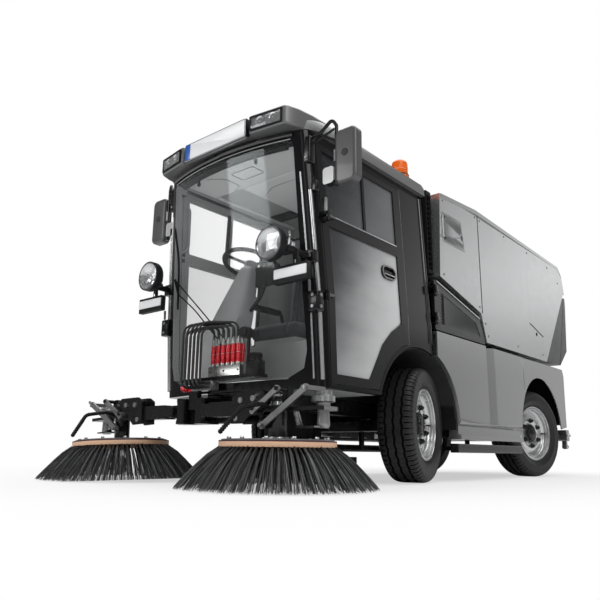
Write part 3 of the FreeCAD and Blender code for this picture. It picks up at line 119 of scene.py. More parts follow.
# A round tube: circles of that radius, square to the line's own direction at each point.
def pipe(points, radius, sides=10, up=(0, 0, 1)):
    p = np.asarray(points, float)
    along = np.gradient(p, axis=0)
    along /= np.linalg.norm(along, axis=1, keepdims=True)
    across = np.cross(along, np.asarray(up, float))
    across /= np.maximum(np.linalg.norm(across, axis=1, keepdims=True), 1e-9)
    over = np.cross(across, along)
    a = np.linspace(0, 2 * np.pi, sides, endpoint=False)
    r = np.broadcast_to(np.asarray(radius, float), len(p))[:, None, None]
    ring = across[:, None] * np.cos(a)[None, :, None] + over[:, None] * np.sin(a)[None, :, None]
    return capped(p[:, None] + r * ring)


# A line of straight runs whose corners are quadratic arcs, as points.
def rounded(points, bend=0.03, steps=5):
    p = np.asarray(points, float)
    line = [p[:1]]
    for a, b, c in zip(p, p[1:], p[2:]):
        u, w = a - b, c - b
        reach = min(bend, 0.48 * np.linalg.norm(u), 0.48 * np.linalg.norm(w))
        s, e = b + u / np.linalg.norm(u) * reach, b + w / np.linalg.norm(w) * reach
        t = np.linspace(0, 1, steps + 1)[:, None]
        line.append((1 - t) ** 2 * s + 2 * t * (1 - t) * b + t ** 2 * e)
    return np.concatenate(line + [p[-1:]])


# A shape turned by a 3 x 3 matrix whose columns are its new axes, then moved.
def placed(shape, matrix=None, move=(0, 0, 0)):
    verts, faces = shape
    verts = np.asarray(verts, float)
    if matrix is not None:
        verts = verts @ np.asarray(matrix, float).T
    return verts + np.asarray(move, float), faces


# A shape mirrored in the middle plane, with its faces turned the right way again.
def mirrored(shape):
    verts, faces = shape
    return np.asarray(verts) * [1, -1, 1], [f[::-1] for f in faces]


# Several shapes as one list of points and faces.
def merged(shapes):
    verts, faces, start = [], [], 0
    for v, f in shapes:
        verts.append(np.asarray(v, float).reshape(-1, 3))
        faces += [[i + start for i in face] for face in f]
        start += len(verts[-1])
    return np.concatenate(verts), faces


# Copies of a shape, one at each place.
def repeated(shape, places):
    return merged([placed(shape, move=place) for place in places])


# A 3 x 3 matrix whose third column is the direction.
def axes(direction, up=(0, 0, 1)):
    d = np.asarray(direction, float) / np.linalg.norm(direction)
    up = np.asarray(up, float) if abs(np.dot(d, up)) < 0.95 else np.array([1.0, 0, 0])
    x = np.cross(up, d)
    x /= np.linalg.norm(x)
    return np.stack([x, np.cross(d, x), d], 1)


def addObject(name, data):
    item = bpy.data.objects.new(name, data)
    bpy.context.scene.collection.objects.link(item)
    return item


# Makes a piece of a shape, welds its doubles, rides it on its body and hides the CAD parts it replaces.
def build(name, shape, finish, smooth=40, bevel=0.0, body="chassis", replaces=(), weld=True):
    verts, faces = shape
    mesh = bpy.data.meshes.new(name)
    mesh.from_pydata((np.asarray(verts) + shift).tolist(), [], faces)
    if weld:
        work = bmesh.new()
        work.from_mesh(mesh)
        bmesh.ops.remove_doubles(work, verts=work.verts, dist=meshSizes["weld"])
        bmesh.ops.recalc_face_normals(work, faces=work.faces)
        work.to_mesh(mesh)
        work.free()
    mesh.validate()
    return complete(addObject(name, mesh), finish, body, smooth, bevel, replaces)


# Shading, bevel, material, its body, and the hiding of the parts it replaces, which every piece gets.
def complete(piece, finish, body, smooth, bevel, replaces):
    mesh = piece.data
    mesh.materials.clear()
    mesh.materials.append(finishes[finish])
    mesh.shade_smooth()
    if smooth < 180:
        mesh.set_sharp_from_angle(angle=math.radians(smooth))
    if bevel > 0:
        edge = piece.modifiers.new("edge", "BEVEL")
        edge.width, edge.segments, edge.limit_method = bevel, 2, "ANGLE"
        edge.angle_limit = math.radians(meshSizes["bevelDegrees"])
    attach(piece, body)
    if replaces:
        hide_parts(*replaces)
    return piece


nodeBody = {n: b for b, members in frame["record"]["behaviour"]["bodies"].items() for n in members}


# A CAD node's own mesh, merged and smoothed, with its edges rounded, shown in its place. A zone is a
# finish and a rule on the middles (x, y, z) and the facings (u, v, w) of the faces.
def dressNode(node, finish, bevel=0.0, smooth=32, zones=()):
    mesh = frame["nodes"][node].data.copy()
    work = bmesh.new()
    work.from_mesh(mesh)
    bmesh.ops.remove_doubles(work, verts=work.verts, dist=meshSizes["nodeWeld"])
    if bevel:
        flat = math.radians(meshSizes["flatDegrees"])
        bmesh.ops.dissolve_limit(work, angle_limit=flat, verts=work.verts, edges=work.edges)
    work.to_mesh(mesh)
    work.free()
    piece = addObject(node + "_dressed", mesh)
    complete(piece, finish, nodeBody[node], smooth, bevel, [node])
    if zones:
        count = len(mesh.polygons)
        middles, facings = np.empty(count * 3), np.empty(count * 3)
        mesh.polygons.foreach_get("center", middles)
        mesh.polygons.foreach_get("normal", facings)
        place = (middles.reshape(-1, 3) - shift).T
        facing = facings.reshape(-1, 3).T
        chosen = np.zeros(count, int)
        for index, (zoneFinish, rule) in enumerate(zones):
            mesh.materials.append(finishes[zoneFinish])
            chosen[rule(place, facing)] = index + 1
        mesh.polygons.foreach_set("material_index", chosen.tolist())
    return piece


# Finishes

# A new material with its nodes, its shader and the object's own coordinates.
def finishNodes(name):
    material = bpy.data.materials.new(name)
    material.use_nodes = True
    tree = material.node_tree
    place = addNode(tree, "ShaderNodeTexCoord").outputs["Object"]
    return material, tree, tree.nodes["Principled BSDF"], place


# Links sockets to a node's inputs, or sets the inputs to plain values.
def feed(tree, node, inputs):
    for key, value in inputs.items():
        if isinstance(value, bpy.types.NodeSocket):
            tree.links.new(value, node.inputs[key])
        else:
            node.inputs[key].default_value = value


def addNode(tree, kind, inputs=None, **settings):
    node = tree.nodes.new(kind)
    for key, value in settings.items():
        setattr(node, key, value)
    feed(tree, node, inputs or {})
    return node


# Soft noise from 0 to 1 at a place.
def noise(tree, place, scale, detail=3.0, stretch=(1, 1, 1)):
    vector = addNode(tree, "ShaderNodeMapping", {"Vector": place, "Scale": stretch}).outputs[0]
    inputs = {"Vector": vector, "Scale": scale, "Detail": detail}
    return addNode(tree, "ShaderNodeTexNoise", inputs).outputs["Fac"]


# One operation of the maths node on values or sockets.
def maths(tree, operation, *values, **settings):
    inputs = dict(enumerate(values))
    return addNode(tree, "ShaderNodeMath", inputs, operation=operation, **settings).outputs[0]


# A value between start and end carried onto low to high.
def spread(tree, value, low, high, start=0.0, end=1.0, **settings):
    inputs = {"Value": value, "From Min": start, "From Max": end, "To Min": low, "To Max": high}
    return addNode(tree, "ShaderNodeMapRange", inputs, **settings).outputs["Result"]


# Two colours mixed by a factor; a plain colour gets a full fourth value.
def blended(tree, factor, first, second):
    first, second = ((*c, 1) if isinstance(c, tuple) else c for c in (first, second))
    mix = addNode(tree, "ShaderNodeMix", {"Factor": factor, "A": first, "B": second}, data_type="RGBA")
    return mix.outputs["Result"]


# One surface: a colour with soft patches, uneven gloss, a fine grain as bump and dust low down.
def makeFinish(name, colour, roughness=0.5, metallic=0.0, variation=0.06, grain=900.0, grainHeight=0.0,
               coat=0.0, coatRoughness=0.05, specular=0.5, dust=0.0, patch=3.0,
               dustColour=(0.3, 0.29, 0.27), sheen=0.0):
    material, tree, shader, place = finishNodes(name)
    dark = tuple(c * (1 - variation) for c in colour)
    light = tuple(min(1.0, c * (1 + variation)) for c in colour)
    tint = blended(tree, noise(tree, place, patch, 4.0), dark, light)
    if dust > 0:
        height = addNode(tree, "ShaderNodeSeparateXYZ", {"Vector": place}).outputs["Z"]
        low = spread(tree, height, 0.0, dust, 0.75, 0.02)
        cloud = spread(tree, noise(tree, place, 9.0, 6.0), 0.2, 1.0)
        tint = blended(tree, maths(tree, "MULTIPLY", low, cloud), tint, dustColour)
    spots = noise(tree, place, patch * 5, 5.0)
    gloss = spread(tree, spots, max(0.02, roughness * 0.8), min(1, roughness * 1.2))
    feed(tree, shader, {"Base Color": tint, "Roughness": gloss, "Metallic": metallic,
                        "Specular IOR Level": specular, "Coat Weight": coat, "Coat Roughness": coatRoughness,
                        "Sheen Weight": sheen})
    if grainHeight > 0:
        fine = noise(tree, place, grain, 2.0)
        bump = addNode(tree, "ShaderNodeBump", {"Height": fine, "Strength": 0.5, "Distance": grainHeight})
        feed(tree, shader, {"Normal": bump.outputs[0]})
    return material


# Rows: colour, roughness, metallic, variation, grain's scale and height, coat and its roughness,
# specular level, dust, patch scale, dust's colour, sheen. What a row leaves out is as makeFinish has it.
finishTable = {
    "bodySilver": ((0.5, 0.505, 0.51), 0.25, 0.85, 0.03, 900, 0.0, 0.2, 0.14),
    "panelGrey": ((0.36, 0.362, 0.365), 0.2, 0.85, 0.03, 900, 0.0, 0.3, 0.1),
    "roofGrey": ((0.155, 0.156, 0.158), 0.36, 0.3, 0.05, 900, 0.00006, 0.25, 0.2),
    "coverGrey": ((0.036, 0.037, 0.039), 0.38, 0.2, 0.06, 900, 0.0001, 0.15),
    "mirrorGrey": ((0.09, 0.09, 0.092), 0.34, 0.2, 0.06, 900, 0.0001, 0.2),
    "mirrorPale": ((0.5, 0.5, 0.505), 0.3, 0.2, 0.03, 900, 0.00005, 0.3),
    "cabBlack": ((0.005, 0.005, 0.006), 0.16, 0.0, 0.1, 600, 0.0, 0.15, 0.05, 0.3),
    "doorBlack": ((0.008, 0.008, 0.009), 0.22, 0.0, 0.1, 600, 0.0, 0.1, 0.06, 0.35),
    "pillarBlack": ((0.004, 0.004, 0.005), 0.12, 0.0, 0.1, 600, 0.0, 1.0, 0.03),
    "blackPlastic": ((0.007, 0.007, 0.008), 0.55, 0.0, 0.15, 700, 0.0002, 0.0, 0.05, 0.22, 0.05),
    "blackSteel": ((0.006, 0.006, 0.007), 0.26, 0.1, 0.15, 500, 0.0001, 0.25, 0.1, 0.35, 0.04),
    "innerGrey": ((0.36, 0.37, 0.37), 0.6, 0.0, 0.06, 700, 0.0003),
    "consoleGrey": ((0.3, 0.305, 0.31), 0.55, 0.0, 0.06, 700, 0.0003),
    "seamDark": ((0.03, 0.032, 0.034), 0.6, 0.0, 0.05, 700),
    "silverTrimAndHighlight": ((0.62, 0.625, 0.63), 0.22, 0.85, 0.03, 900, 0.00002, 0.3),
    "castSteel": ((0.31, 0.31, 0.315), 0.36, 0.85, 0.14, 260, 0.0005, 0.0, 0.05, 0.5, 0.06),
    "zincSteel": ((0.5, 0.51, 0.5), 0.26, 0.9, 0.1, 500, 0.0001),
    "chromeSteel": ((0.75, 0.76, 0.77), 0.1, 1.0, 0.03),
    "rimSilver": ((0.66, 0.665, 0.67), 0.26, 0.85, 0.05, 900, 0.0, 0.2, 0.15, 0.5, 0.05),
    # Painted shade of the tread's grooves: darker than the tyre's rubber.
    "treadGrooveShade": ((0.003, 0.003, 0.003), 0.8, 0.0, 0.06, 900, 0.0, 0.0, 0.05, 0.1),
    "tyreRubber": ((0.014, 0.014, 0.015), 0.46, 0.0, 0.2, 1200, 0.0001, 0.0, 0.05, 0.4, 0.1, 12,
                   (0.08, 0.078, 0.075)),
    "hoseRubber": ((0.017, 0.017, 0.018), 0.4, 0.0, 0.1, 1500, 0.0001, 0.0, 0.05, 0.6),
    "sleeveRed": ((0.62, 0.018, 0.03), 0.22, 0.35, 0.1, 900, 0.00003, 0.4),
    "plateWhite": ((0.8, 0.81, 0.82), 0.3, 0.0, 0.02, 900, 0.0, 0.3),
    "bandBlue": ((0.015, 0.1, 0.42), 0.3, 0.0, 0.03, 900, 0.0, 0.3),
    "ringLine": ((0.06, 0.018, 0.03), 0.45),
    "linerPale": ((0.74, 0.76, 0.76), 0.7, 0.0, 0.04, 700, 0.0002),
    "reflectorWhite": ((0.78, 0.79, 0.8), 0.35, 0.0, 0.02, 300, 0.0002),
    "lampSilver": ((0.8, 0.81, 0.82), 0.12, 1.0, 0.05, 60, 0.0006),
    "signalAmber": ((0.8, 0.28, 0.02), 0.2, 0.0, 0.05, 90, 0.0006, 0.6),
    "signalRed": ((0.45, 0.01, 0.01), 0.2, 0.0, 0.05, 90, 0.0006, 0.6),
    "seatCloth": ((0.035, 0.036, 0.04), 0.85, 0.0, 0.15, 1600, 0.0006, 0.0, 0.05, 0.5, 0.0, 3.0,
                  (0.3, 0.29, 0.27), 0.3),
    "engineIron": ((0.09, 0.09, 0.092), 0.6, 0.5, 0.15, 200, 0.0006),
}
finishes = {name: makeFinish(name, *row) for name, row in finishTable.items()}


# Clear glazing: a mirror whose cover is a thin haze plus a share that rises with the fourth power of
# the slant.
def makeGlass(name, colour, haze):
    material, tree, shader, place = finishNodes(name)
    soft = noise(tree, place, 4.0, 4.0)
    tint = blended(tree, soft, tuple(c * 0.95 for c in colour), colour)
    slant = addNode(tree, "ShaderNodeLayerWeight", {"Blend": 0.5}).outputs["Facing"]
    cover = maths(tree, "MULTIPLY_ADD", maths(tree, "POWER", slant, 4.0), 0.9, haze, use_clamp=True)
    feed(tree, shader, {"Base Color": tint, "Roughness": spread(tree, soft, 0.02, 0.05), "Metallic": 0.6,
                        "Alpha": cover})
    return material


# Door glass: its outside carries a painted reflection, a soft grey that pales from the top front corner to the low
# rear one, and seen from behind it is a thin haze.
def makePaintedReflectionGlass(name, dark, pale, cover, corner, reach, inside):
    material, tree, shader, place = finishNodes(name)
    x, _, z = addNode(tree, "ShaderNodeSeparateXYZ", {"Vector": place}).outputs
    # Painted reflection: the pane pales the further it lies down and back from its front top corner, with soft
    # waves.
    down = maths(tree, "SUBTRACT", corner[1] + shift[2], z)
    back = maths(tree, "SUBTRACT", corner[0] + shift[0], x)
    both = maths(tree, "MULTIPLY_ADD", down, 0.45, back)
    wave = maths(tree, "MULTIPLY_ADD", noise(tree, place, 2.2, 3.0, (1, 1, 2.5)), 0.25, both)
    fade = spread(tree, wave, 0.0, 1.0, 0.18, reach, interpolation_type="SMOOTHSTEP")
    behind = addNode(tree, "ShaderNodeNewGeometry").outputs["Backfacing"]
    gloss = spread(tree, noise(tree, place, 4.0, 4.0), 0.05, 0.1)
    feed(tree, shader, {"Base Color": blended(tree, fade, dark, pale), "Roughness": gloss,
                        "Specular IOR Level": 0.35, "Alpha": spread(tree, behind, cover, inside)})
    return material


# Clear orange plastic, lit a little from inside.
def makeBeaconOrange():
    material, tree, shader, place = finishNodes("beaconOrange")
    tint = blended(tree, noise(tree, place, 14.0), (0.8, 0.11, 0.006), (0.95, 0.22, 0.012))
    gloss = spread(tree, noise(tree, place, 30.0), 0.12, 0.2)
    feed(tree, shader, {"Base Color": tint, "Emission Color": tint, "Emission Strength": 0.06,
                        "Transmission Weight": 0.25, "Roughness": gloss})
    return material


# Broom strands: each has its own random tone from near black to grey, darker near the ring as painted shade where
# the strands crowd and paler at the tips, kept as a value on its points.
def makeBristle():
    material, tree, shader, _ = finishNodes("bristleBlack")
    shade = addNode(tree, "ShaderNodeAttribute", attribute_name="shade").outputs["Fac"]
    tint = blended(tree, shade, (0.006, 0.006, 0.007), (0.3, 0.302, 0.31))
    feed(tree, shader, {"Base Color": tint, "Roughness": spread(tree, shade, 0.45, 0.3)})
    return material


# Varnished beech: grain in flat layers, with broad paler and redder patches.
def makeRingWood():
    material, tree, shader, place = finishNodes("ringWood")
    grain = noise(tree, place, 60.0, 8.0, (0.25, 0.25, 6.0))
    broad = noise(tree, place, 7.0, 4.0)
    tint = blended(tree, grain, (0.6, 0.33, 0.19), (0.88, 0.62, 0.42))
    tint = blended(tree, spread(tree, broad, 0.0, 0.5), tint, (0.74, 0.43, 0.29))
    bump = addNode(tree, "ShaderNodeBump", {"Height": grain, "Strength": 0.4, "Distance": 0.0006})
    feed(tree, shader, {"Base Color": tint, "Roughness": spread(tree, broad, 0.35, 0.5),
                        "Normal": bump.outputs[0]})
    return material


glassTable = {"cabGlass": ((0.62, 0.66, 0.66), 0.035), "doorGlass": ((0.62, 0.66, 0.66), 0.02),
              "lensClear": ((0.9, 0.92, 0.93), 0.1)}
# Each pane's painted reflection runs from its dark colour to its pale one.
paintedReflectionTable = {  # dark and pale colours, cover outside, front top corner (x, z), fade's reach, cover inside
    "doorPaintedReflection": ((0.038, 0.039, 0.042), (0.6, 0.605, 0.61), 0.97, (0.95, 1.37), 1.02, 0.28),
    "windowPaintedReflection": ((0.016, 0.016, 0.019), (0.16, 0.165, 0.17), 0.92, (1.0, 1.8), 1.1, 0.04),
}
finishes.update({name: makeGlass(name, *row) for name, row in glassTable.items()})
finishes.update({name: makePaintedReflectionGlass(name, *row) for name, row in paintedReflectionTable.items()})
finishes.update(beaconOrange=makeBeaconOrange(), ringWood=makeRingWood(), bristleBlack=makeBristle())
print("finishes made")


# CAD nodes with their finishes and the width of their rounded edges

nodeFinish = {
    "bodySilver": (["hopper_shell"], 0.003),
    "panelGrey": (["side_skirts", "rear_fenders", "rear_bumper"], 0.004),
    "coverGrey": (["engine_door_left", "engine_door_right", "tail_frame", "tailgate"], 0.003),
    "roofGrey": (["cab_roof"], 0.0),
    "cabBlack": (["cab_frame"], 0.003),
    "doorBlack": (["door_left", "door_right"], 0.002),
    "innerGrey": (["cab_floor"], 0.002),
    "consoleGrey": (["dashboard"], 0.006),
    "blackPlastic": (["wheel_arches", "intake_louvre", "steering_wheel", "body_deck", "engine_bay",
                      "suction_mouth", "suction_duct", "work_lamps"], 0.0),
    "blackSteel": (["chassis_frame", "axles", "sill_rails", "coupling_block", "mirrors", "broom_carrier",
                    "swing_link_left", "swing_link_right", "broom_arm_left", "broom_arm_right"], 0.002),
    "castSteel": (["knuckle_%s_%s" % (e, s) for e in ends for s in sides], 0.0),
    "rimSilver": (["rim_%s_%s" % (e, s) for e in ends for s in sides], 0.0),
    "cabGlass": (["cab_glass"], 0.0),
    "doorGlass": (["door_glass_left", "door_glass_right"], 0.0),
    "plateWhite": (["number_plate"], 0.0),
    "hoseRubber": (["hydraulic_hoses"], 0.0),
    "beaconOrange": (["beacon"], 0.0),
    "engineIron": (["engine_block"], 0.004),
}
headReach = {"left": 0.438, "right": -0.89}  # y of each broom's axis


# A rule for faces between lowest and highest corners; the sign of y is left out.
def within(low, high):
    def rule(p, f):
        q = np.array([p[0], np.abs(p[1]), p[2]])
        return np.all((q > np.array(low)[:, None]) & (q < np.array(high)[:, None]), axis=0)
    return rule


# Zones of a broom's head: rounds are (finish, x, s, radius, lowest z, highest z), where s is the
# distance outwards from the broom's axis; bars and bolt heads have rules of their own.
def headZones(side):
    sign, centre = sides[side], headReach[side]
    rounds = [("castSteel", 1.1, 0.245, 0.064, 0.0, 0.47),
              ("zincSteel", 1.1, 0.245, 0.064, 0.405, 0.442),
              ("zincSteel", 1.15, 0.126, 0.034, 0.297, 0.366),
              ("chromeSteel", 1.15, 0.0, 0.05, 0.398, 0.419),
              ("zincSteel", 1.15, 0.0, 0.038, 0.441, 0.456)]
    spots = ((-0.21, 0.43), (-0.12, 0.436), (-0.24, 0.34))

    def outwards(p):
        return (p[1] - centre) * sign

    def roundRule(x, s, radius, low, high):
        return lambda p, f: (np.hypot(p[0] - x, outwards(p) - s) < radius) & (p[2] > low) & (p[2] < high)

    def bars(p, f):
        return (p[0] > 1.2105) & (p[0] < 1.2445) & (np.hypot(p[1] - centre, p[2] - 0.385) > 0.018)

    def bolts(p, f):
        head = np.any([np.hypot(outwards(p) - a, p[2] - b) < 0.0165 for a, b in spots], axis=0)
        return head & ((p[0] < 1.1125) | (p[0] > 1.2075)) & (p[0] > 1.105) & (p[0] < 1.218)

    zones = [(name, roundRule(*row)) for name, *row in rounds]
    zones = [("castSteel", bars)] + zones[:4] + [("zincSteel", bolts)] + zones[4:]
    return zones + [("blackPlastic", lambda p, f: p[0] > 1.384)]


# The coupling block's row of sleeves, between two heights.
def onSleeves(p, low, high):
    return (p[2] > low) & (p[2] < high) & (p[1] > -0.046) & (p[1] < 0.182)


# A door pane's outside, above or below the split of its two panes.
def outerPane(p, f, upper):
    return (np.abs(f[1]) > 0.8) & (f[1] * p[1] > 0) & ((p[2] > 1.4) == upper)


mirrorFaces = within((1.0, 0.633, 1.535), (1.0065, 0.857, 1.851))
nodeZones = {
    "coupling_block": [
        ("zincSteel", lambda p, f: (p[2] > 0.5665) & (p[2] < 0.6225) & (p[1] > -0.053) & (p[1] < 0.193)),
        ("zincSteel", lambda p, f: (p[2] > 0.497) & (p[2] < 0.5485) & (p[1] > -0.184) & (p[0] > 1.1355)),
        ("zincSteel", lambda p, f: onSleeves(p, 0.6222, 0.777)),
        ("sleeveRed", lambda p, f: onSleeves(p, 0.637, 0.736))],
    "work_lamps": [("lampSilver", lambda p, f: (p[0] > 1.2745)
                    & (np.hypot(np.abs(p[1]) - 0.497, p[2] - 1.195) < 0.0815))],
    "mirrors": [
        ("mirrorGrey", within((1.0, 0.7155, 1.535), (1.06, 0.857, 1.851))),
        ("mirrorPale", within((1.0, 0.633, 1.575), (1.051, 0.706, 1.657))),
        ("chromeSteel", lambda p, f: (f[0] < -0.9) & mirrorFaces(p, f))],
    "rear_bumper": [
        ("signalRed", within((-2.66, 0.464, 0.315), (-2.6375, 0.616, 0.385))),
        ("signalAmber", within((-2.66, 0.575, 0.315), (-2.6375, 0.616, 0.385)))],
    "dashboard": [("blackPlastic", lambda p, f: (p[2] > 0.962) & (p[0] < 0.8))],
    "cab_frame": [("innerGrey", lambda p, f: (np.abs(f[2]) < 0.8)
                   & (f[0] * (p[0] - 0.5) / 0.55 + f[1] * p[1] / 0.6 < -0.25))],
}
for side in sides:
    nodeZones["broom_arm_" + side] = headZones(side)
    nodeZones["door_" + side] = [
        ("innerGrey", lambda p, f: f[1] * p[1] < -0.3 * np.abs(p[1])),
        ("castSteel", within((0.294, 0.6096, 1.19), (0.446, 0.66, 1.276)))]
    # The outer panes carry a painted reflection; the upper one is darker.
    nodeZones["door_glass_" + side] = [("doorPaintedReflection", lambda p, f: outerPane(p, f, False)),
                                       ("windowPaintedReflection", lambda p, f: outerPane(p, f, True))]
    nodeZones["engine_door_" + side] = [
        ("blackSteel", lambda p, f: (p[0] > -0.15) & (np.abs(p[1]) < 0.6505))]
for finishName, (nodes, edge) in nodeFinish.items():
    for node in nodes:
        dressNode(node, finishName, edge, zones=nodeZones.get(node, ()))
for side in sides:
    dressNode("hopper_flap_" + side, "bodySilver")
print("nodes dressed")


# Wheels

# A hinge's own axes: its centre, and a matrix whose third column is its axis, outwards.
def jointAxes(name, side=1):
    j = joints[name]
    return np.array(j["pos_m"], float) - shift, axes(np.array(j["axis"], float) * side)


tyreSizes = {"radius": 0.35, "pitches": 66, "grooves": (-0.05, 0.0, 0.05), "grooveWidth": 0.0115,
             "grooveDepth": 0.011, "slotShare": 0.24, "slotDepth": 0.009, "sipeDepth": 0.0055}


# Radius and width from a profile; tread cuts lower the radius where a groove, slot or sipe runs.
def tyreSurface(s):
    profile = [(0.2035, 0.066), (0.2035, 0.0855), (0.2212, 0.0857), (0.2262, 0.0905), (0.2345, 0.101),
               (0.245, 0.1075), (0.264, 0.1112), (0.266, 0.1122), (0.272, 0.1115), (0.306, 0.1095),
               (0.308, 0.111), (0.317, 0.1095), (0.326, 0.1065), (0.333, 0.1025), (0.3385, 0.0975),
               (0.343, 0.0915), (0.347, 0.08), (0.349, 0.068)]
    g, w = s["grooves"][2], s["grooveWidth"] / 2
    flat = [0.062, 0.06, g + w + 0.0012, g + w, g, g - w, g - w - 0.0012, 0.036, 0.022, w + 0.0012, w]
    half = np.array(profile + [(s["radius"] - 0.1 * y * y, y) for y in flat])
    across = np.concatenate([half, [(s["radius"], 0.0)], half[::-1] * [1, -1]])
    inner = np.array([(0.23, -0.06), (0.3, -0.092), (0.332, 0.0), (0.3, 0.092), (0.23, 0.06)])
    share = np.array([0.0, 0.02, s["slotShare"] - 0.02, s["slotShare"], 0.56, 0.575, 0.605, 0.62, 0.81])
    u = (np.arange(s["pitches"])[:, None] + share[None, :]).ravel()
    part = np.tile(share, s["pitches"])
    angle = u / s["pitches"] * 2 * np.pi
    r, y = across[:, :1], across[:, 1:]
    weave = 0.0022 * np.sign(np.sin(np.pi * (u + 0.5)))[None, :]
    cut = np.zeros((len(across), len(u)))
    isTread = (np.abs(y) < 0.1035) & (r > 0.3325)
    for groove in s["grooves"]:
        cut = np.maximum(cut, np.where(isTread & (np.abs(y - groove) < w + 0.0003), s["grooveDepth"], 0))
    slot = (part[None, :] > 0.01) & (part[None, :] < s["slotShare"] - 0.01)
    cut = np.maximum(cut, np.where((np.abs(y) > 0.0605) & (r > 0.32) & slot, s["slotDepth"], 0))
    sipe = np.abs(part - 0.59) < 0.02
    ribs = (np.abs(y) < 0.084) & (np.abs(np.abs(y) - g) > w + 0.002) & (np.abs(y) > w + 0.002) & isTread
    cut = np.maximum(cut, np.where(ribs & sipe[None, :], s["sipeDepth"], 0))
    shiftY = np.where(isTread & (np.abs(y) < 0.058), weave, 0.0)
    grid = np.stack([(r - cut) * np.cos(angle), (r - cut) * np.sin(angle), y + shiftY], -1)
    liner = np.stack([inner[:, :1] * np.cos(angle), inner[:, :1] * np.sin(angle),
                      np.repeat(inner[:, 1:], len(u), 1)], -1)
    return surface(np.concatenate([grid, liner]), closeRows=True, closeColumns=True)


# A six-sided head: hexagons at three heights, the last drawn in by the chamfer.
def hexHead(across, height, chamfer=0.15):
    a = np.arange(6) * np.pi / 3
    ring = np.stack([np.cos(a), np.sin(a)], -1) * across / math.sqrt(3)
    levels = [(1, 0), (1, height * (1 - chamfer)), (0.86, height)]
    return capped(np.stack([np.concatenate([ring * k, np.full((6, 1), z)], 1) for k, z in levels]))


# Even places on a circle about z.
def ringPlaces(count, radius, height, start=0.0):
    a = np.arange(count) * 2 * np.pi / count + start
    return np.stack([radius * np.cos(a), radius * np.sin(a), np.full(count, height)], -1)


tread = tyreSurface(tyreSizes)
treadMiddles = tread[0][np.array(tread[1])].mean(1)
treadRadius = np.hypot(treadMiddles[:, 0], treadMiddles[:, 1])
# The faces down in the tread's grooves, which get the painted shade.
grooveShadeFaces = (treadRadius > 0.325) & (treadRadius < 0.3448) & (np.abs(treadMiddles[:, 2]) < 0.088)
for end in ends:
    for side, sign in sides.items():
        tag = end + "_" + side
        centre, turn = jointAxes("wheel_" + tag, sign)
        piece = build("tyreTread_" + tag, placed(tread, turn, centre), "tyreRubber", 28,
                      body="wheel_" + tag, replaces=["tyre_" + tag], weld=False)
        # Painted shade: the groove faces get a darker, duller rubber than the ribs.
        piece.data.materials.append(finishes["treadGrooveShade"])
        piece.data.polygons.foreach_set("material_index", grooveShadeFaces.astype(int).tolist())
print("tyres made")


# Brooms

broomSizes = {"strands": 3400, "tufts": 76, "ringRadius": 0.29, "ringInner": 0.2, "ringBottom": 0.195,
              "ringTop": 0.2248, "footLow": 0.3, "footHigh": 0.508, "discRadius": 0.278,
              "thickness": (0.0015, 0.0015, 0.0014, 0.0012, 0.0009)}


# Strands: five points each on a drooping line from the ring to a foot, cut short where the line meets
# the floor, with a triangle round each point.
def strandBundle(s, centre, turn, hingeHeight):
    count, steps = s["strands"], len(s["thickness"])
    tuft = random.integers(0, s["tufts"], count)
    rank = random.integers(0, 3, count)
    angle = (tuft + 0.5 * (rank % 2)) / s["tufts"] * 2 * np.pi
    rootAngle = angle + random.normal(0, 0.007, count)
    footAngle = angle + random.normal(0, 0.017, count)
    rootRadius = 0.278 - 0.03 * rank + random.normal(0, 0.004, count)
    footRadius = s["footHigh"] - 0.058 * rank - np.abs(random.normal(0, 0.024, count))
    footRadius = np.clip(footRadius, s["footLow"], s["footHigh"])
    t = np.linspace(0, 1, steps)[:, None]
    radial = rootRadius + (footRadius - rootRadius) * (t * 0.85 + 0.15 * t ** 0.5)
    around = rootAngle + (footAngle - rootAngle) * t + random.normal(0, 0.005, count) * t * (1 - t) * 2
    height = s["ringBottom"] + 0.006 + (-0.012 - s["ringBottom"]) * (0.35 * t + 0.65 * t ** 1.25)
    height = np.broadcast_to(height - hingeHeight, radial.shape)
    local = np.stack([radial * np.cos(around), radial * np.sin(around), height], -1)
    world = local @ turn.T + centre
    tip = 0.0015 + np.abs(random.normal(0, 0.007, count))
    root, foot = world[0, :, 2], world[-1, :, 2]
    keep = np.clip((root - tip) / np.maximum(root - foot, 1e-6), 0.2, 1.15)
    index = np.clip(t * keep * (steps - 1), 0, steps - 1.001)
    low = np.floor(index).astype(int)
    share = (index - low)[..., None]
    column = np.arange(count)[None, :]
    line = world[low, column] * (1 - share) + world[np.minimum(low + 1, steps - 1), column] * share
    line[..., 2] = np.maximum(line[..., 2], 0.0012)
    along = line[-1] - line[0]
    along /= np.linalg.norm(along, axis=1, keepdims=True)
    across = np.cross(along, [0, 0, 1.0])
    across /= np.linalg.norm(across, axis=1, keepdims=True)
    over = np.cross(across, along)
    a = (np.arange(3) * 2 * np.pi / 3)[None, None, :, None]
    ring = across[None, :, None] * np.cos(a) + over[None, :, None] * np.sin(a)
    grid = (line[:, :, None] + ring * np.array(s["thickness"])[:, None, None, None]).transpose(1, 0, 2, 3)
    one = gridFaces(steps, 3, closeColumns=True) + [[0, 2, 1], [3 * steps - 3, 3 * steps - 2, 3 * steps - 1]]
    starts = (np.arange(count) * steps * 3).tolist()
    return grid.reshape(-1, 3), [[i + start for i in f] for start in starts for f in one]
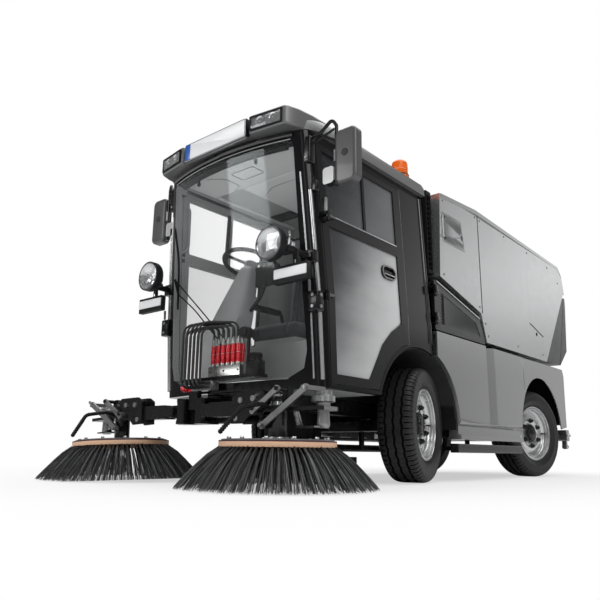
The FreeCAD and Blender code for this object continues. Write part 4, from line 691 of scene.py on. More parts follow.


# A broom: strands in their own tones with painted shade near the ring, the wooden ring with its painted edge, and
# the plate with its bolts.
def makeBroom(side, s):
    centre, turn = jointAxes("broom_" + side)
    body, hingeHeight = "broom_" + side, joints["broom_" + side]["pos_m"][2]
    strands = strandBundle(s, centre, turn, hingeHeight)
    tufts = build("bristleTufts_" + side, strands, "bristleBlack", 180, body=body,
                  replaces=["bristles_" + side], weld=False)
    # Painted shade: each strand darkens towards the ring and pales towards its tip.
    fade = np.tile(np.repeat([0.5, 0.7, 0.9, 1.1, 1.3], 3), s["strands"])
    shade = np.clip(np.repeat(random.beta(0.8, 2.2, s["strands"]), 15) * fade, 0, 1)
    tufts.data.attributes.new("shade", "FLOAT", "POINT").data.foreach_set("value", shade)
    z0, z1 = s["ringBottom"] - hingeHeight, s["ringTop"] - hingeHeight
    r0, r1, d = s["ringInner"], s["ringRadius"], s["discRadius"]
    ring = [(r0, z0), (r0, z1), (r1 - 0.003, z1), (r1 - 0.0008, z1 - 0.001), (r1, z1 - 0.003),
            (r1, z0 + 0.003), (r1 - 0.0008, z0 + 0.0008), (r1 - 0.003, z0)]
    plate = [(0.0202, z1 + 0.0202), (0.0202, z1 + 0.0002), (d, z1 + 0.0002), (d, z1 + 0.0062),
             (d - 0.004, z1 + 0.0082), (d - 0.06, z1 + 0.0082), (d - 0.066, z1 + 0.006), (0.1, z1 + 0.006),
             (0.094, z1 + 0.009), (0.06, z1 + 0.009), (0.056, z1 + 0.0202)]
    edge = [(r1 - 0.012, z1 + 0.0002), (r1 - 0.012, z1 + 0.0016), (r1, z1 + 0.0016),
            (r1 + 0.0004, z1 - 0.005), (r1 - 0.0004, z1 - 0.005)]
    bolts = merged([repeated(hexHead(0.017, 0.011), ringPlaces(12, d - 0.03, z1 + 0.008)),
                    repeated(hexHead(0.017, 0.01), ringPlaces(6, 0.078, z1 + 0.0085, 0.3))])
    pieces = (("woodRing_", lathe(ring, 96), "ringWood", ()),
              ("broomPlate_", lathe(plate, 96), "castSteel", ["broom_disc_" + side]),
              ("ringEdge_", lathe(edge, 96), "ringLine", ()), ("broomBolts_", bolts, "zincSteel", ()))
    for name, shape, finish, replaces in pieces:
        build(name + side, placed(shape, turn, centre), finish, body=body, replaces=replaces)


for side in sides:
    makeBroom(side, broomSizes)
print("brooms made")


# Wheel trims

# A ring of round section: circles of that radius carried round at (ring radius, height).
def hoop(ringRadius, height, radius, segments=72, sides=8):
    a = np.arange(sides) * 2 * np.pi / sides
    return lathe(np.stack([ringRadius + radius * np.cos(a), height + radius * np.sin(a)], -1), segments)


# A turn about z as a 3 x 3 matrix.
def turnZ(angle):
    c, s = math.cos(angle), math.sin(angle)
    return np.array([[c, -s, 0], [s, c, 0], [0, 0, 1.0]])


wheelTrim = {"studs": 6, "studCircle": 0.1025, "nutAcross": 0.03, "nutHeight": 0.018, "hubRibs": 12}


# The dark hub, six studs with nuts, the valve and bright lines round the lip, about the wheel's axis.
def wheelTrims(s):
    hub = lathe([(0, 0.0747), (0.0385, 0.0747), (0.0468, 0.0685), (0.0468, 0.0505), (0.0715, 0.0465),
                 (0.0722, 0.056), (0.069, 0.0595), (0.056, 0.0605), (0.0535, 0.07), (0.05, 0.0735),
                 (0.04, 0.0775), (0, 0.0775)], 60)
    rib = block((0.058, 0, 0.0615), (0.014, 0.006, 0.005), 0.001)
    ribs = [placed(rib, turnZ(k * 2 * np.pi / s["hubRibs"])) for k in range(s["hubRibs"])]
    washer = lathe([(0.006, 0.0562), (0.0195, 0.0562), (0.0195, 0.059), (0.006, 0.059)], 18)
    stud = lathe([(0, 0.06), (0.0085, 0.06), (0.0085, 0.083), (0.007, 0.0845), (0, 0.0845)], 12)
    nut = placed(hexHead(s["nutAcross"], s["nutHeight"]), move=(0, 0, 0.0585))
    nuts = repeated(merged([washer, stud, nut]), ringPlaces(s["studs"], s["studCircle"], 0.0, 0.52))
    valve = pipe([(0.166, 0, 0.043), (0.171, 0, 0.056), (0.178, 0, 0.074)], 0.0045, 8)
    notch = block((0.1665, 0, 0.044), (0.02, 0.014, 0.006), 0.002)
    lips = merged([hoop(0.2168, 0.0912, 0.0034), hoop(0.199, 0.077, 0.003), hoop(0.15, 0.0515, 0.0016)])
    return (("wheelHub_", merged([hub] + ribs + [nuts]), "blackSteel"),
            ("wheelValve_", merged([valve, notch]), "blackPlastic"), ("wheelLip_", lips, "silverTrimAndHighlight"))


trims = wheelTrims(wheelTrim)
for end in ends:
    for side, sign in sides.items():
        tag = end + "_" + side
        centre, turn = jointAxes("wheel_" + tag, sign)
        for name, shape, finish in trims:
            build(name + tag, placed(shape, turn, centre), finish, 35, body="wheel_" + tag)
print("wheel trims made")


# Cab trims

# Half the cab's width: upright to the waist, then a straight lean.
def cabHalf(z):
    return 0.624 - 0.049 * np.maximum(np.asarray(z, float) - 0.95, 0) / 0.94


# How far the cab's front leans forward at a height.
def frontLean(z):
    return 0.106 * (np.asarray(z, float) - 0.49) / 1.4


# The cab's front: x on an arc through both pillars' front lines and the nose, at (y, z).
def cabFront(y, z):
    lean = frontLean(z)
    side, reach, nose = cabHalf(z) - 0.052, 1.034 + lean, 1.104 + 1.1 * lean
    rise = nose - reach
    bend = (side ** 2 + rise ** 2) / (2 * rise)
    return nose - bend + np.sqrt(bend ** 2 - np.asarray(y, float) ** 2)


# A line up the rounded pillar: out is 0 at the windscreen's edge and 1 at the outer corner.
def pillarLine(z0, z1, out, proud, count=12):
    z = np.linspace(z0, z1, count)
    x = 1.034 + frontLean(z) - 0.024 * out + proud * (1 - 0.4 * out)
    y = cabHalf(z) - 0.052 + 0.036 * out + proud * (0.4 + 0.6 * out)
    return np.stack([x, y, z], -1)


# A line across the cab's front at one height, set forward by proud.
def frontLine(half, z, proud, count=33):
    y = np.linspace(-half, half, count)
    return np.stack([cabFront(y, z) + proud, y, np.full(count, z)], -1)


# A shape and its mirror image in one.
def bothSides(shape):
    return merged([shape, mirrored(shape)])


# A shape drawn for the left, on the side that it is for.
def sided(shape, sign):
    return shape if sign > 0 else mirrored(shape)


rodAxes = {"x": axes((1, 0, 0)), "y": axes((0, 1, 0)), "z": np.eye(3)}


# A turned piece on an axis from a start point; profile gives (radius, distance along).
def turnedOn(start, axis, profile, segments=32):
    matrix = rodAxes[axis] if isinstance(axis, str) else axes(axis)
    return placed(lathe(profile, segments), matrix, start)


# A round plate whose outer edge is cut off by a quarter of its thickness.
def disc(start, axis, radius, thickness, segments=24):
    edge = min(radius, thickness) * 0.25
    profile = [(0, 0), (radius, 0), (radius, thickness - edge), (radius - edge, thickness), (0, thickness)]
    return turnedOn(start, axis, profile, segments)


# The two strip radii belong to the pillars' painted highlight strips.
cabTrim = {"railHeight": 1.863, "railRadius": 0.0135, "rollerHeight": 1.818, "rollerRadius": 0.016,
           "linerLevel": 1.868, "strip": 0.0055, "wideHighlightStrip": 0.0105}


# The rail, painted highlight lines along the windscreen's top and bottom edges, the blind's roller, painted
# highlight strips up the pillars, and the pillars' clamps and bolts.
def cabTrims(s):
    build("headerRail", pipe(frontLine(0.505, s["railHeight"], 0.008), s["railRadius"], 14), "pillarBlack",
          60)
    # Painted highlights: bright lines along the windscreen's top and bottom edges.
    build("headerHighlightLine", pipe(frontLine(0.488, 1.8405, 0.0015), 0.0028, 8), "silverTrimAndHighlight")
    build("sillHighlightLine", pipe(frontLine(0.43, 0.541, 0.002), 0.0045, 8), "silverTrimAndHighlight")
    knob = [(0, 0), (0.007, 0), (0.007, 0.012), (0.011, 0.018), (0.011, 0.034), (0.006, 0.04), (0, 0.04)]
    roller = [pipe(frontLine(0.44, s["rollerHeight"], -0.04), s["rollerRadius"], 14)]
    for y in (-0.262, 0.232):
        roller.append(turnedOn((float(cabFront(y, 1.8)) - 0.04, y, 1.806), (0, 0, -1), knob, 16))
    build("blindRoller", merged(roller), "blackPlastic", 50)
    # Painted highlights: bright strips along the windscreen's edge and along the pillar's outer corner, broken at
    # the clamp.
    inner, outer = ((0.535, 0.868), (0.985, 1.64)), ((0.53, 0.872), (0.982, 1.535))
    highlightStrips = [pipe(pillarLine(z0, z1, 0, 0.001), s["strip"], 8) for z0, z1 in inner]
    highlightStrips += [pipe(pillarLine(z0, z1, 1, 0.003), s["wideHighlightStrip"], 10) for z0, z1 in outer]
    build("pillarHighlightStrips", bothSides(merged(highlightStrips)), "silverTrimAndHighlight", 60)
    z = np.linspace(0.86, 1.86, 16)
    corner = np.stack([np.full(16, -0.08), cabHalf(z) - 0.006, z], -1)
    build("rearCorner", bothSides(pipe(corner, 0.019, 14, (1, 0, 0))), "pillarBlack", 60)
    clamps = [block((1.062, 0.603, 0.925), (0.058, 0.062, 0.104), 0.008),
              block((1.078, 0.585, 1.165), (0.046, 0.056, 0.07), 0.006),
              block((1.088, 0.563, 1.77), (0.052, 0.06, 0.155), 0.01),
              block((1.07, 0.6, 1.56), (0.03, 0.03, 0.06), 0.006)]
    bolts = [disc((1.091, 0.603, z), "x", 0.01, 0.007, 6) for z in (0.895, 0.955)]
    bolts += [disc((1.062, 0.634, z), "y", 0.01, 0.007, 6) for z in (0.895, 0.955)]
    bolts += [disc(place, "x", 0.009, 0.006, 6) for place in ((1.101, 0.59, 1.165), (1.114, 0.57, 1.72))]
    bolts += [pipe([(1.1, 0.59, 0.975), (1.102, 0.59, 1.03)], 0.007, 12)]
    build("pillarClamps", bothSides(merged(clamps)), "blackSteel")
    build("pillarBolts", bothSides(merged(bolts)), "castSteel", 30)


# The lining under the roof: a dark back sheet, pale panels with gaps between them, a lamp and two vents.
def roofLining(s):
    z = s["linerLevel"]
    y = np.linspace(-0.49, 0.49, 25)
    front = np.concatenate([np.stack([cabFront(y, 1.87) - 0.078, y], -1), [(0.815, 0.49), (0.815, -0.49)]])
    build("linerFront", outlinePlate(front, (z - 0.012, z)), "linerPale", 30, 0.005)
    middle = block((0.4, 0, z - 0.004), (0.815, 0.45, 0.022), 0.009)
    build("linerMiddle", middle, "linerPale")
    sheet = block((0.48, 0, z + 0.012), (1.02, 0.99, 0.008), 0.003)
    build("linerBack", sheet, "innerGrey")
    wing = block((0.4, 0.482, z + 0.002), (0.8, 0.03, 0.02), 0.008)
    build("linerWings", bothSides(wing), "linerPale")
    vent = [block((0.245, 0.355, z + 0.002), (0.1, 0.2, 0.012), 0.004)]
    vent += [block((0.19 + 0.022 * k, 0.355, z - 0.004), (0.01, 0.19, 0.01), 0.002) for k in range(6)]
    build("linerVents", bothSides(merged(vent)), "blackPlastic")
    lamp = block((0.965, -0.028, z - 0.0135), (0.086, 0.17, 0.007), 0.003)
    build("linerLamp", lamp, "reflectorWhite")
    corners = [(0.912, -0.122), (1.018, -0.122), (1.018, 0.066), (0.912, 0.066), (0.912, -0.1)]
    frameLine = rounded([(a, b, z - 0.0135) for a, b in corners], 0.015)
    build("linerLampFrame", pipe(frameLine, 0.0022, 6), "seamDark")
    ahead = [(x, y, z - 0.0125) for x, y in ((0.818, -0.3), (0.86, -0.2), (1.0, -0.2), (1.06, -0.3))]
    behind = [(0.62, -0.226, z - 0.0135), (0.72, -0.05, z - 0.0155), (0.72, 0.226, z - 0.0135)]
    seams = [rounded(ahead, 0.03), rounded(behind, 0.04)]
    build("linerSeams", merged([pipe(line, 0.0018, 6) for line in seams]), "seamDark")


# Steering column cover: rounded-square rings that narrow along the column.
def columnCover():
    t = np.array([-0.02, 0.06, 0.16, 0.27, 0.36, 0.42])
    a = np.linspace(0, 2 * np.pi, 28, endpoint=False)
    c, d = (np.sign(v) * np.abs(v) ** 0.6 for v in (np.cos(a), np.sin(a)))
    wide = np.interp(t, [0, 0.2, 0.42], [0.135, 0.105, 0.055])[:, None]
    deep = np.interp(t, [0, 0.2, 0.42], [0.085, 0.065, 0.048])[:, None]
    x = 0.85 - 0.35 * t[:, None] + deep * c
    z = 0.93 + t[:, None] * 0.944 + 0.33 * deep * c
    return capped(np.stack([x, -0.25 + wide * d, z], -1))


# Inside the cab: column cover, stalks, a screen on its stand, grab bars and arm rests.
def cabInterior():
    build("columnCover", columnCover(), "consoleGrey")
    parts = [pipe([(0.705, near, 1.315), (0.7, far, 1.335)], 0.007, 8) for near, far in
             ((-0.2, -0.1), (-0.3, -0.4))]
    parts += [block((0.76, -0.03, 1.24), (0.03, 0.19, 0.13), 0.008)]
    stand = rounded([(0.8, -0.13, 1.02), (0.79, -0.06, 1.1), (0.772, -0.03, 1.2)], 0.03)
    build("columnSwitches", merged(parts + [pipe(stand, 0.012, 10)]), "blackPlastic")
    bar = [(1.035, 0.548, 1.745), (0.99, 0.54, 1.735), (0.985, 0.542, 1.46), (1.02, 0.56, 1.43)]
    build("grabBars", bothSides(pipe(rounded(bar, 0.03), 0.011, 12)), "innerGrey", 60)
    rests = [block((0.3, y, 1.165), (0.3, 0.055, 0.04), 0.014) for y in (0.04, -0.48)]
    rests += [pipe([(0.14, y, 1.16), (0.11, y, 1.05), (0.1, y, 0.96)], 0.012, 8) for y in (0.034, -0.474)]
    build("armRests", merged(rests), "blackPlastic")


cabTrims(cabTrim)
roofLining(cabTrim)
cabInterior()
print("cab trims made")


# Door trims ride on the doors

for side, sign in sides.items():
    belt = [block((0.61, 0.6, 1.4315), (0.694, 0.004, 0.006), 0.001),
            block((0.985, 0.6025, 1.478), (0.022, 0.012, 0.084), 0.004)]
    handleEdge = block((0.37, 0.614, 1.2185), (0.112, 0.005, 0.007), 0.002)
    build("doorBelt_" + side, sided(merged(belt), sign), "silverTrimAndHighlight", body="door_" + side)
    build("doorHandleEdge_" + side, sided(handleEdge, sign), "silverTrimAndHighlight", body="door_" + side)
print("door trims made")


# Roof front: plate with its plain blue band, border and strip, and the lamps

plateSizes = {"x": 1.2773, "half": 0.26, "low": 1.882, "high": 1.992, "band": 0.044, "border": 0.0016}


# On the plate: a plain blue band at its end and a thin line round it; below it, a strip.
def plateTrims(s):
    x, y, z0, z1 = s["x"] + 0.0004, s["half"] - 0.003, s["low"] + 0.003, s["high"] - 0.003
    bandPlace = (s["x"] + 0.0005, s["band"] / 2 - s["half"] + 0.004, (s["low"] + s["high"]) / 2)
    band = block(bandPlace, (0.0016, s["band"], s["high"] - s["low"] - 0.01), 0.0004)
    build("plateBand", band, "bandBlue")
    loop = rounded([(x, 0, z0), (x, y, z0), (x, y, z1), (x, -y, z1), (x, -y, z0), (x, 0, z0)], 0.008)
    build("plateBorder", pipe(loop, s["border"], 6, (1, 0, 0)), "seamDark")
    strip = block((1.268, 0, 1.8735), (0.012, 0.536, 0.015), 0.003)
    build("plateStrip", strip, "mirrorGrey")


# A dished mirror facing along x: flat facets on a parabola, hollow behind a small bulb cap.
def reflector(centre, radius, depth, turn=None, facets=18):
    r = np.linspace(radius, radius * 0.12, 6)
    face = np.stack([r, depth * (r / radius) ** 2], -1)
    dish = lathe(np.concatenate([face, face[::-1] - [0, 0.002]]), facets)
    bulb = lathe([(0, 0.0), (radius * 0.2, 0.0), (radius * 0.22, depth * 0.7), (radius * 0.15, depth * 0.95),
                  (0, depth)], 16)
    return placed(placed(merged([dish, bulb]), rodAxes["x"]), turn, centre)


# A clear cover facing along x: rings of a shallow dome, closed behind.
def lens(centre, radius, rise, thickness=0.003, segments=40):
    r = np.linspace(radius, 0, 7)
    outer = np.stack([r, thickness + rise * (1 - (r / radius) ** 2)], -1)
    inner = np.stack([r[::-1], rise * (1 - (r[::-1] / radius) ** 2)], -1)
    return placed(lathe(np.concatenate([outer, inner]), segments), rodAxes["x"], centre)


lampSizes = {"y": 0.497, "z": 1.195, "roofPlace": (1.236, 0.4, 1.938), "roofTurn": 9}


# The work lamps' mirrors, rings, yokes and boxes, the marker bars, the roof lamps' cases with three
# mirrors each, the roof's front corners, and the clear covers of all lamps.
def lampTrims(s):
    shapes, covers, rings = [], [], []
    for sign in (1, -1):
        y, z = sign * s["y"], s["z"]
        shapes.append(reflector((1.277, y, z), 0.0785, 0.032, facets=20))
        covers.append(lens((1.3135, y, z), 0.081, 0.008))
        rings.append(placed(hoop(0.0855, 0, 0.0048, 48), rodAxes["x"], (1.3145, y, z)))
    build("lampReflectors", merged(shapes), "lampSilver", 4)
    build("lampRings", merged(rings), "pillarBlack", 60)
    bar = block((1.2335, 0.572, 1.05), (0.012, 0.214, 0.05), 0.004)
    build("markerBars", bothSides(bar), "reflectorWhite")
    line = rounded([(1.262, 0.585, 1.185), (1.272, 0.6, 1.215), (1.262, 0.59, 1.25)], 0.02)
    yoke = pipe(line, 0.006, 8)
    feet = [disc((1.225, 0.575, 1.182), "z", 0.016, 0.024, 16),
            disc((1.193, 0.575, 1.092), "z", 0.01, 0.03, 16)]
    build("lampYokes", bothSides(merged([yoke] + feet)), "silverTrimAndHighlight")
    boxes = [block((1.236, 0.497, 1.195), (0.04, 0.06, 0.06), 0.018),
             block((1.225, 0.54, 1.165), (0.06, 0.08, 0.02), 0.006)]
    build("lampCables", bothSides(merged(boxes)), "blackPlastic")
    modules, cases, cowls = [], [], []
    beams = (((0.016, 0.046, 0.004), 0.026, 0.014, 12), ((0.016, -0.04, 0.004), 0.028, 0.014, 12),
             ((0.018, 0.006, -0.02), 0.009, 0.006, 8))
    levels = ((-0.03, 0.1, 0.04), (0.034, 0.107, 0.043), (0.034, 0.098, 0.034), (0.014, 0.094, 0.03))
    outer = [(0.93, 0.575), (1.06, 0.571), (1.16, 0.557), (1.222, 0.536), (1.2445, 0.522),
             (1.276, 0.292), (1.262, 0.278), (1.05, 0.278), (0.93, 0.3)]
    for sign in (1, -1):
        turn, spot = turnZ(math.radians(s["roofTurn"] * sign)), np.array(s["roofPlace"]) * [1, sign, 1]
        for place, radius, depth, facets in beams:
            centre = turn @ (np.array(place) * [1, sign, 1]) + spot
            modules.append(reflector(centre, radius, depth, turn, facets))
        caseRings = [[(x, half, -tall), (x, half, tall), (x, -half, tall), (x, -half, -tall)]
                     for x, half, tall in levels]
        cases.append(placed(capped(np.array(caseRings)), turn, spot))
        covers.append(placed(block((0.0315, 0, 0), (0.002, 0.194, 0.066), 0.001), turn, spot))
        cowls.append(sided(outlinePlate(outer, (1.8865, 1.9965)), sign))
    cases.append(block((1.2565, 0, 1.9425), (0.035, 0.524, 0.103), 0.004))
    build("roofLampCases", merged(cases), "blackPlastic", 30, replaces=["roof_lamps"])
    build("roofShoulders", merged(cowls), "roofGrey", 40, 0.024)
    build("roofReflectors", merged(modules), "lampSilver", 20)
    build("lampCovers", merged(covers), "lensClear", 30)


plateTrims(plateSizes)
lampTrims(lampSizes)
ribs = [hoop(0.0545, 0.03 + 0.014 * k, 0.0012, 48, 6) for k in range(5)]
build("beaconRibs", placed(merged(ribs), move=(0.03, 0.5, 1.9953)), "beaconOrange", 60)
foot = [(0.056, 0.018), (0.0625, 0.018), (0.0635, 0.022), (0.06, 0.0275), (0.056, 0.0275)]
build("beaconFoot", turnedOn((0.03, 0.5, 1.9955), "z", foot, 48), "blackPlastic")
print("lamps made")


# Front: mirror sockets and clamps, wiper, coupling rings, red plug, hoses' plug and head bolts

# A round socket on each mirror's front and a clamp on its arm.
def mirrorDetails():
    socket = [(0, 0), (0.02, 0), (0.02, 0.002), (0.017, 0.0035), (0, 0.0035)]
    sockets = bothSides(turnedOn((1.0592, 0.786, 1.705), "x", socket, 28))
    build("mirrorSockets", sockets, "seamDark")
    clamp = pipe([(1.035, 0.7115, 1.68), (1.035, 0.7115, 1.745)], 0.0135, 16, (1, 0, 0))
    build("mirrorClamps", bothSides(clamp), "castSteel")


frontSizes = {"blade": 0.0042, "arm": 0.004, "sleeveStep": 0.04, "sleeves": 6, "ring": 0.0014, "ridges": 4,
              "loops": 4}


# The wiper, rings and bolts on the coupling block, the red plug, and ridges and loops on the hoses' plugs.
def frontDetails(s):
    blade = rounded([(1.1385, -0.487, 1.545), (1.1385, -0.427, 1.32), (1.1165, -0.44, 1.015)], 0.1, 8)
    arms = [[(1.136, -0.466, 1.205), (1.1485, -0.168, 0.951), (1.1345, 0.03, 0.76), (1.1215, 0.06, 0.57)],
            [(1.126, -0.43, 1.105), (1.144, -0.252, 0.983), (1.1345, -0.02, 0.76), (1.1215, 0.025, 0.57)]]
    wiper = [pipe(blade, s["blade"], 6), pipe(blade + [0.006, 0, 0], 0.005, 8)]
    wiper += [pipe([(1.134, -0.466, 1.207), (1.13, -0.428, 1.104)], 0.008, 8)]
    wiper += [pipe(rounded(arm, 0.05), s["arm"], 8) for arm in arms]
    wiper += [disc((1.11, y, 0.568), "x", 0.016, 0.02, 20) for y in (0.06, 0.025)]
    build("wiper", merged(wiper), "blackPlastic")
    rings = [placed(hoop(radius, z, s["ring"], 20, 6), None, (x, -0.032 + s["sleeveStep"] * k, 0))
             for x in (1.178, 1.148) for k in range(s["sleeves"])
             for z, radius in ((0.6365, 0.0118), (0.69, 0.0134), (0.7385, 0.0118))]
    build("sleeveRings", merged(rings), "zincSteel", 60)
    bolts = [disc((1.192, y, 0.594), "x", 0.006, 0.004, 6) for y in (-0.04, 0.07, 0.18)]
    build("blockBolts", merged(bolts), "blackSteel", 30)
    knob = [(0, 0), (0.014, 0), (0.014, 0.008), (0.019, 0.012), (0.019, 0.034), (0.012, 0.042), (0, 0.042)]
    plug = [turnedOn((1.157, -0.262, 0.515), (0.25, -1, 0.2), knob, 20),
            disc((1.143, -0.25, 0.515), "x", 0.016, 0.016, 16)]
    build("redPlug", merged(plug), "sleeveRed")
    ridges = [hoop(0.0365, 0.64 + 0.008 * k, 0.0018, 40, 6) for k in range(s["ridges"])]
    build("plugRidges", placed(merged(ridges), move=(1.154, 0.272, 0)), "blackPlastic", 60)
    loops = [placed(hoop(0.0285, 0.012 + 0.012 * k, 0.0035, 32), rodAxes["x"], (1.14, 0.215, 0.79))
             for k in range(s["loops"])]
    build("connectorLoops", merged(loops), "hoseRubber", 60)


# Bolts on a broom's head: four upright ones round its axis and two that face forwards.
def headBolts(side, sign):
    centre = headReach[side]
    bolts = [disc((1.15 + 0.046 * a, centre + 0.046 * b, 0.3962), "z", 0.009, 0.008, 6)
             for a in (-1, 1) for b in (-1, 1)]
    for a, z in ((0.235, 0.47), (-0.04, 0.3)):
        bolts.append(disc((1.2415, centre + sign * a, z), "x", 0.011, 0.009, 6))
    build("headBolts_" + side, merged(bolts), "zincSteel", 30, body="broom_lift_" + side)


mirrorDetails()
frontDetails(frontSizes)
for side, sign in sides.items():
    headBolts(side, sign)
print("front details made")


# Hopper, covers and tail

bodyTrim = {"side": 0.6503, "screwSides": 14, "screws": [
    (-0.262, 1.36), (-0.286, 1.905), (-0.8, 1.935), (-0.885, 1.93), (-0.806, 1.232), (-0.892, 1.12),
    (-1.35, 1.93), (-1.85, 1.915), (-2.35, 1.895), (-2.62, 1.8), (-0.93, 1.03), (-1.5, 1.03),
    (-2.06, 1.03)]}
screwHead = [(0, 0), (0.0085, 0), (0.008, 0.0022), (0.0045, 0.0034), (0, 0.0036)]


# The hopper's screws, a darker band along its top as painted shade of the rolled edge, seam and latch.
def hopperTrims(s):
    y = s["side"]
    screw = placed(lathe(screwHead, s["screwSides"]), rodAxes["y"])
    screws = repeated(screw, [(x, y, z) for x, z in s["screws"]])
    build("hopperScrews", bothSides(screws), "castSteel", 50, body="hopper")
    # Painted shade: a darker band below the top edge, where the rolled edge turns away from the light.
    top = [(-0.262, 1.9525), (-0.82, 2.0005), (-2.655, 1.9725), (-2.74, 1.906)]
    low = [(x, z - d) for (x, z), d in zip(top, (0.034, 0.034, 0.026, 0.02))]
    band = outlinePlate(top + low[::-1], (y - 0.001, y + 0.0012), "xz")
    build("hopperTopShadeBand", bothSides(band), "panelGrey", body="hopper")
    line = [(-0.846, 1.985), (-0.852, 1.985), (-0.852, 1.19), (-0.846, 1.19)]
    seam = outlinePlate(line, (y - 0.001, y + 0.0008), "xz")
    build("hopperSeam", bothSides(seam), "seamDark", body="hopper")
    slot = pipe([(-1.8, y + 0.0006, 1.272), (-2.1, y + 0.0006, 1.196)], 0.0032, 6)
    dot = [(0, 0), (0.016, 0), (0.016, 0.002), (0.011, 0.004), (0, 0.004)]
    latch = merged([slot, turnedOn((-1.944, y - 0.001, 1.196), "y", dot, 24)])
    build("hopperLatch", bothSides(latch), "blackPlastic", body="hopper")


# The lock on a hopper flap, and on an engine cover a painted highlight strip along its bevelled top edge, hinges
# and vent.
def coverTrims(side, sign):
    ring = [(0, 0), (0.019, 0), (0.019, 0.003), (0.013, 0.0055), (0.013, 0.003), (0, 0.003)]
    lock = [turnedOn((-0.56, 0.6495, 1.7), "y", ring, 28)]
    lock += [turnedOn((-0.3, 0.65, z), "y", screwHead, 12) for z in (1.79, 1.63)]
    build("flapLock_" + side, sided(merged(lock), sign), "blackPlastic", body="flap_" + side)
    cover = "engine_door_" + side
    # Painted highlight: a bright strip where the cover's bevelled top edge catches the light.
    edge = pipe([(-0.15, 0.649, 1.2905), (-0.45, 0.649, 1.22), (-0.79, 0.649, 1.1405)], 0.0045, 8)
    build("coverHighlightStrip_" + side, sided(edge, sign), "silverTrimAndHighlight", 60, body=cover)
    hinges = [block((-0.134, 0.65, z), (0.034, 0.02, 0.056), 0.004) for z in (1.045, 1.235)]
    build("coverHinges_" + side, sided(merged(hinges), sign), "blackSteel", body=cover)
    vent = [block((-0.233, 0.6465, z), (0.03, 0.003, 0.01), 0.001) for z in np.arange(1.02, 1.215, 0.02)]
    build("coverVent_" + side, sided(merged(vent), sign), "blackPlastic", body=cover)


hopperTrims(bodyTrim)
for side, sign in sides.items():
    coverTrims(side, sign)
stub = [(0, 0), (0.016, 0), (0.016, 0.046), (0.012, 0.052), (0, 0.052)]
build("bumperStubs", bothSides(turnedOn((-2.6, 0.6, 0.35), "y", stub, 20)), "silverTrimAndHighlight")
print("body trims made")


# Seat: two padded pieces, remeshed and blown up a little, with sewn lines laid in afterwards

seatSizes = {"voxel": 0.006, "pressure": 4.0, "cap": 0.01, "fill": 0.75, "edge": 0.03, "seamDepth": 0.007,
             "seamWidth": 0.008, "lean": (0.08, 0.64)}


# A mesh's points as rows of x, y, z.
def points(mesh):
    flat = np.empty(len(mesh.vertices) * 3)
    mesh.vertices.foreach_get("co", flat)
    return flat.reshape(-1, 3)


# Replaces the piece's mesh by what its modifier makes, and takes the modifier off.
def setMesh(piece, modifier):
    graph = bpy.context.evaluated_depsgraph_get()
    mesh = bpy.data.meshes.new_from_object(piece.evaluated_get(graph))
    piece.modifiers.remove(modifier)
    piece.data = mesh
    mesh.materials.clear()
    mesh.materials.append(finishes["seatCloth"])


# The piece remeshed to even cells, then swollen by cloth pressure, with each point's way capped.
def padded(name, shape, replaces, s):
    piece = build(name, shape, "seatCloth", 180, replaces=replaces)
    even = piece.modifiers.new("even", "REMESH")
    even.mode, even.voxel_size = "VOXEL", s["voxel"]
    setMesh(piece, even)
    rest = points(piece.data)
    air = piece.modifiers.new("air", "CLOTH")
    air.settings.quality = 4
    air.settings.use_pressure, air.settings.uniform_pressure_force = True, s["pressure"]
    air.settings.effector_weights.gravity = 0.0
    for step in range(1, 21):
        bpy.context.scene.frame_set(step)
    setMesh(piece, air)
    way = points(piece.data) - rest
    length = np.linalg.norm(way, axis=1, keepdims=True)
    held = rest + way * np.minimum(1.0, s["cap"] / np.maximum(length, 1e-9))
    piece.data.vertices.foreach_set("co", held.ravel())
    bpy.context.scene.frame_set(1)
    piece.data.shade_smooth()
    return piece


# Sewn channels across the points that face out, beyond a limit along one axis: points near a line (axis,
# place) are drawn in by a bell curve of the distance to it.
def sewn(piece, lines, outAxis, limit, s):
    p = points(piece.data) - shift
    inward = np.empty(len(p) * 3)
    piece.data.vertices.foreach_get("normal", inward)
    inward = inward.reshape(-1, 3)
    for axis, place in lines:
        bell = np.exp(-((p[:, axis] - place) / s["seamWidth"]) ** 2)
        p = p - inward * (s["seamDepth"] * bell * (p[:, outAxis] > limit))[:, None]
    piece.data.vertices.foreach_set("co", (p + shift).ravel())
    piece.data.update()


# The cushion lies flat; the back is a block tilted to the seat's lean.
def makeSeat(s):
    cushion = block((0.29, -0.22, 0.951), (0.446, 0.424, 0.086), s["edge"], 6)
    sewn(padded("seatPad", cushion, ["seat_cushion"], s),
         [(1, -0.34), (1, -0.1), (0, 0.16), (0, 0.3)], 2, 0.93, s)
    lean = math.atan2(*s["lean"])
    tilt = np.array([[math.cos(lean), 0, -math.sin(lean)], [0, 1, 0], [math.sin(lean), 0, math.cos(lean)]])
    back = placed(block((0, 0, 0), (0.07, 0.4, 0.61), s["edge"], 6), tilt, (0.052, -0.22, 1.322))
    sewn(padded("seatBackPad", back, ["seat_back"], s),
         [(1, -0.33), (1, -0.11), (2, 1.18), (2, 1.48)], 0, 0.03, s)


makeSeat(seatSizes)
print("seat made")


# Camera, floor and light

cameraSizes = {"place": (3.485, 2.561, 0.175), "yaw": 220.46, "pitch": 13.65, "roll": 0.68,
               "focalPixels": 625.8, "picturePixels": 600, "sensor": 36.0}


# Places an item by a 3 x 3 matrix of its axes and a point.
def setPlace(item, turn, place):
    matrix = np.eye(4)
    matrix[:3, :3], matrix[:3, 3] = turn, np.array(place) + shift
    item.matrix_world = Matrix(matrix.tolist())


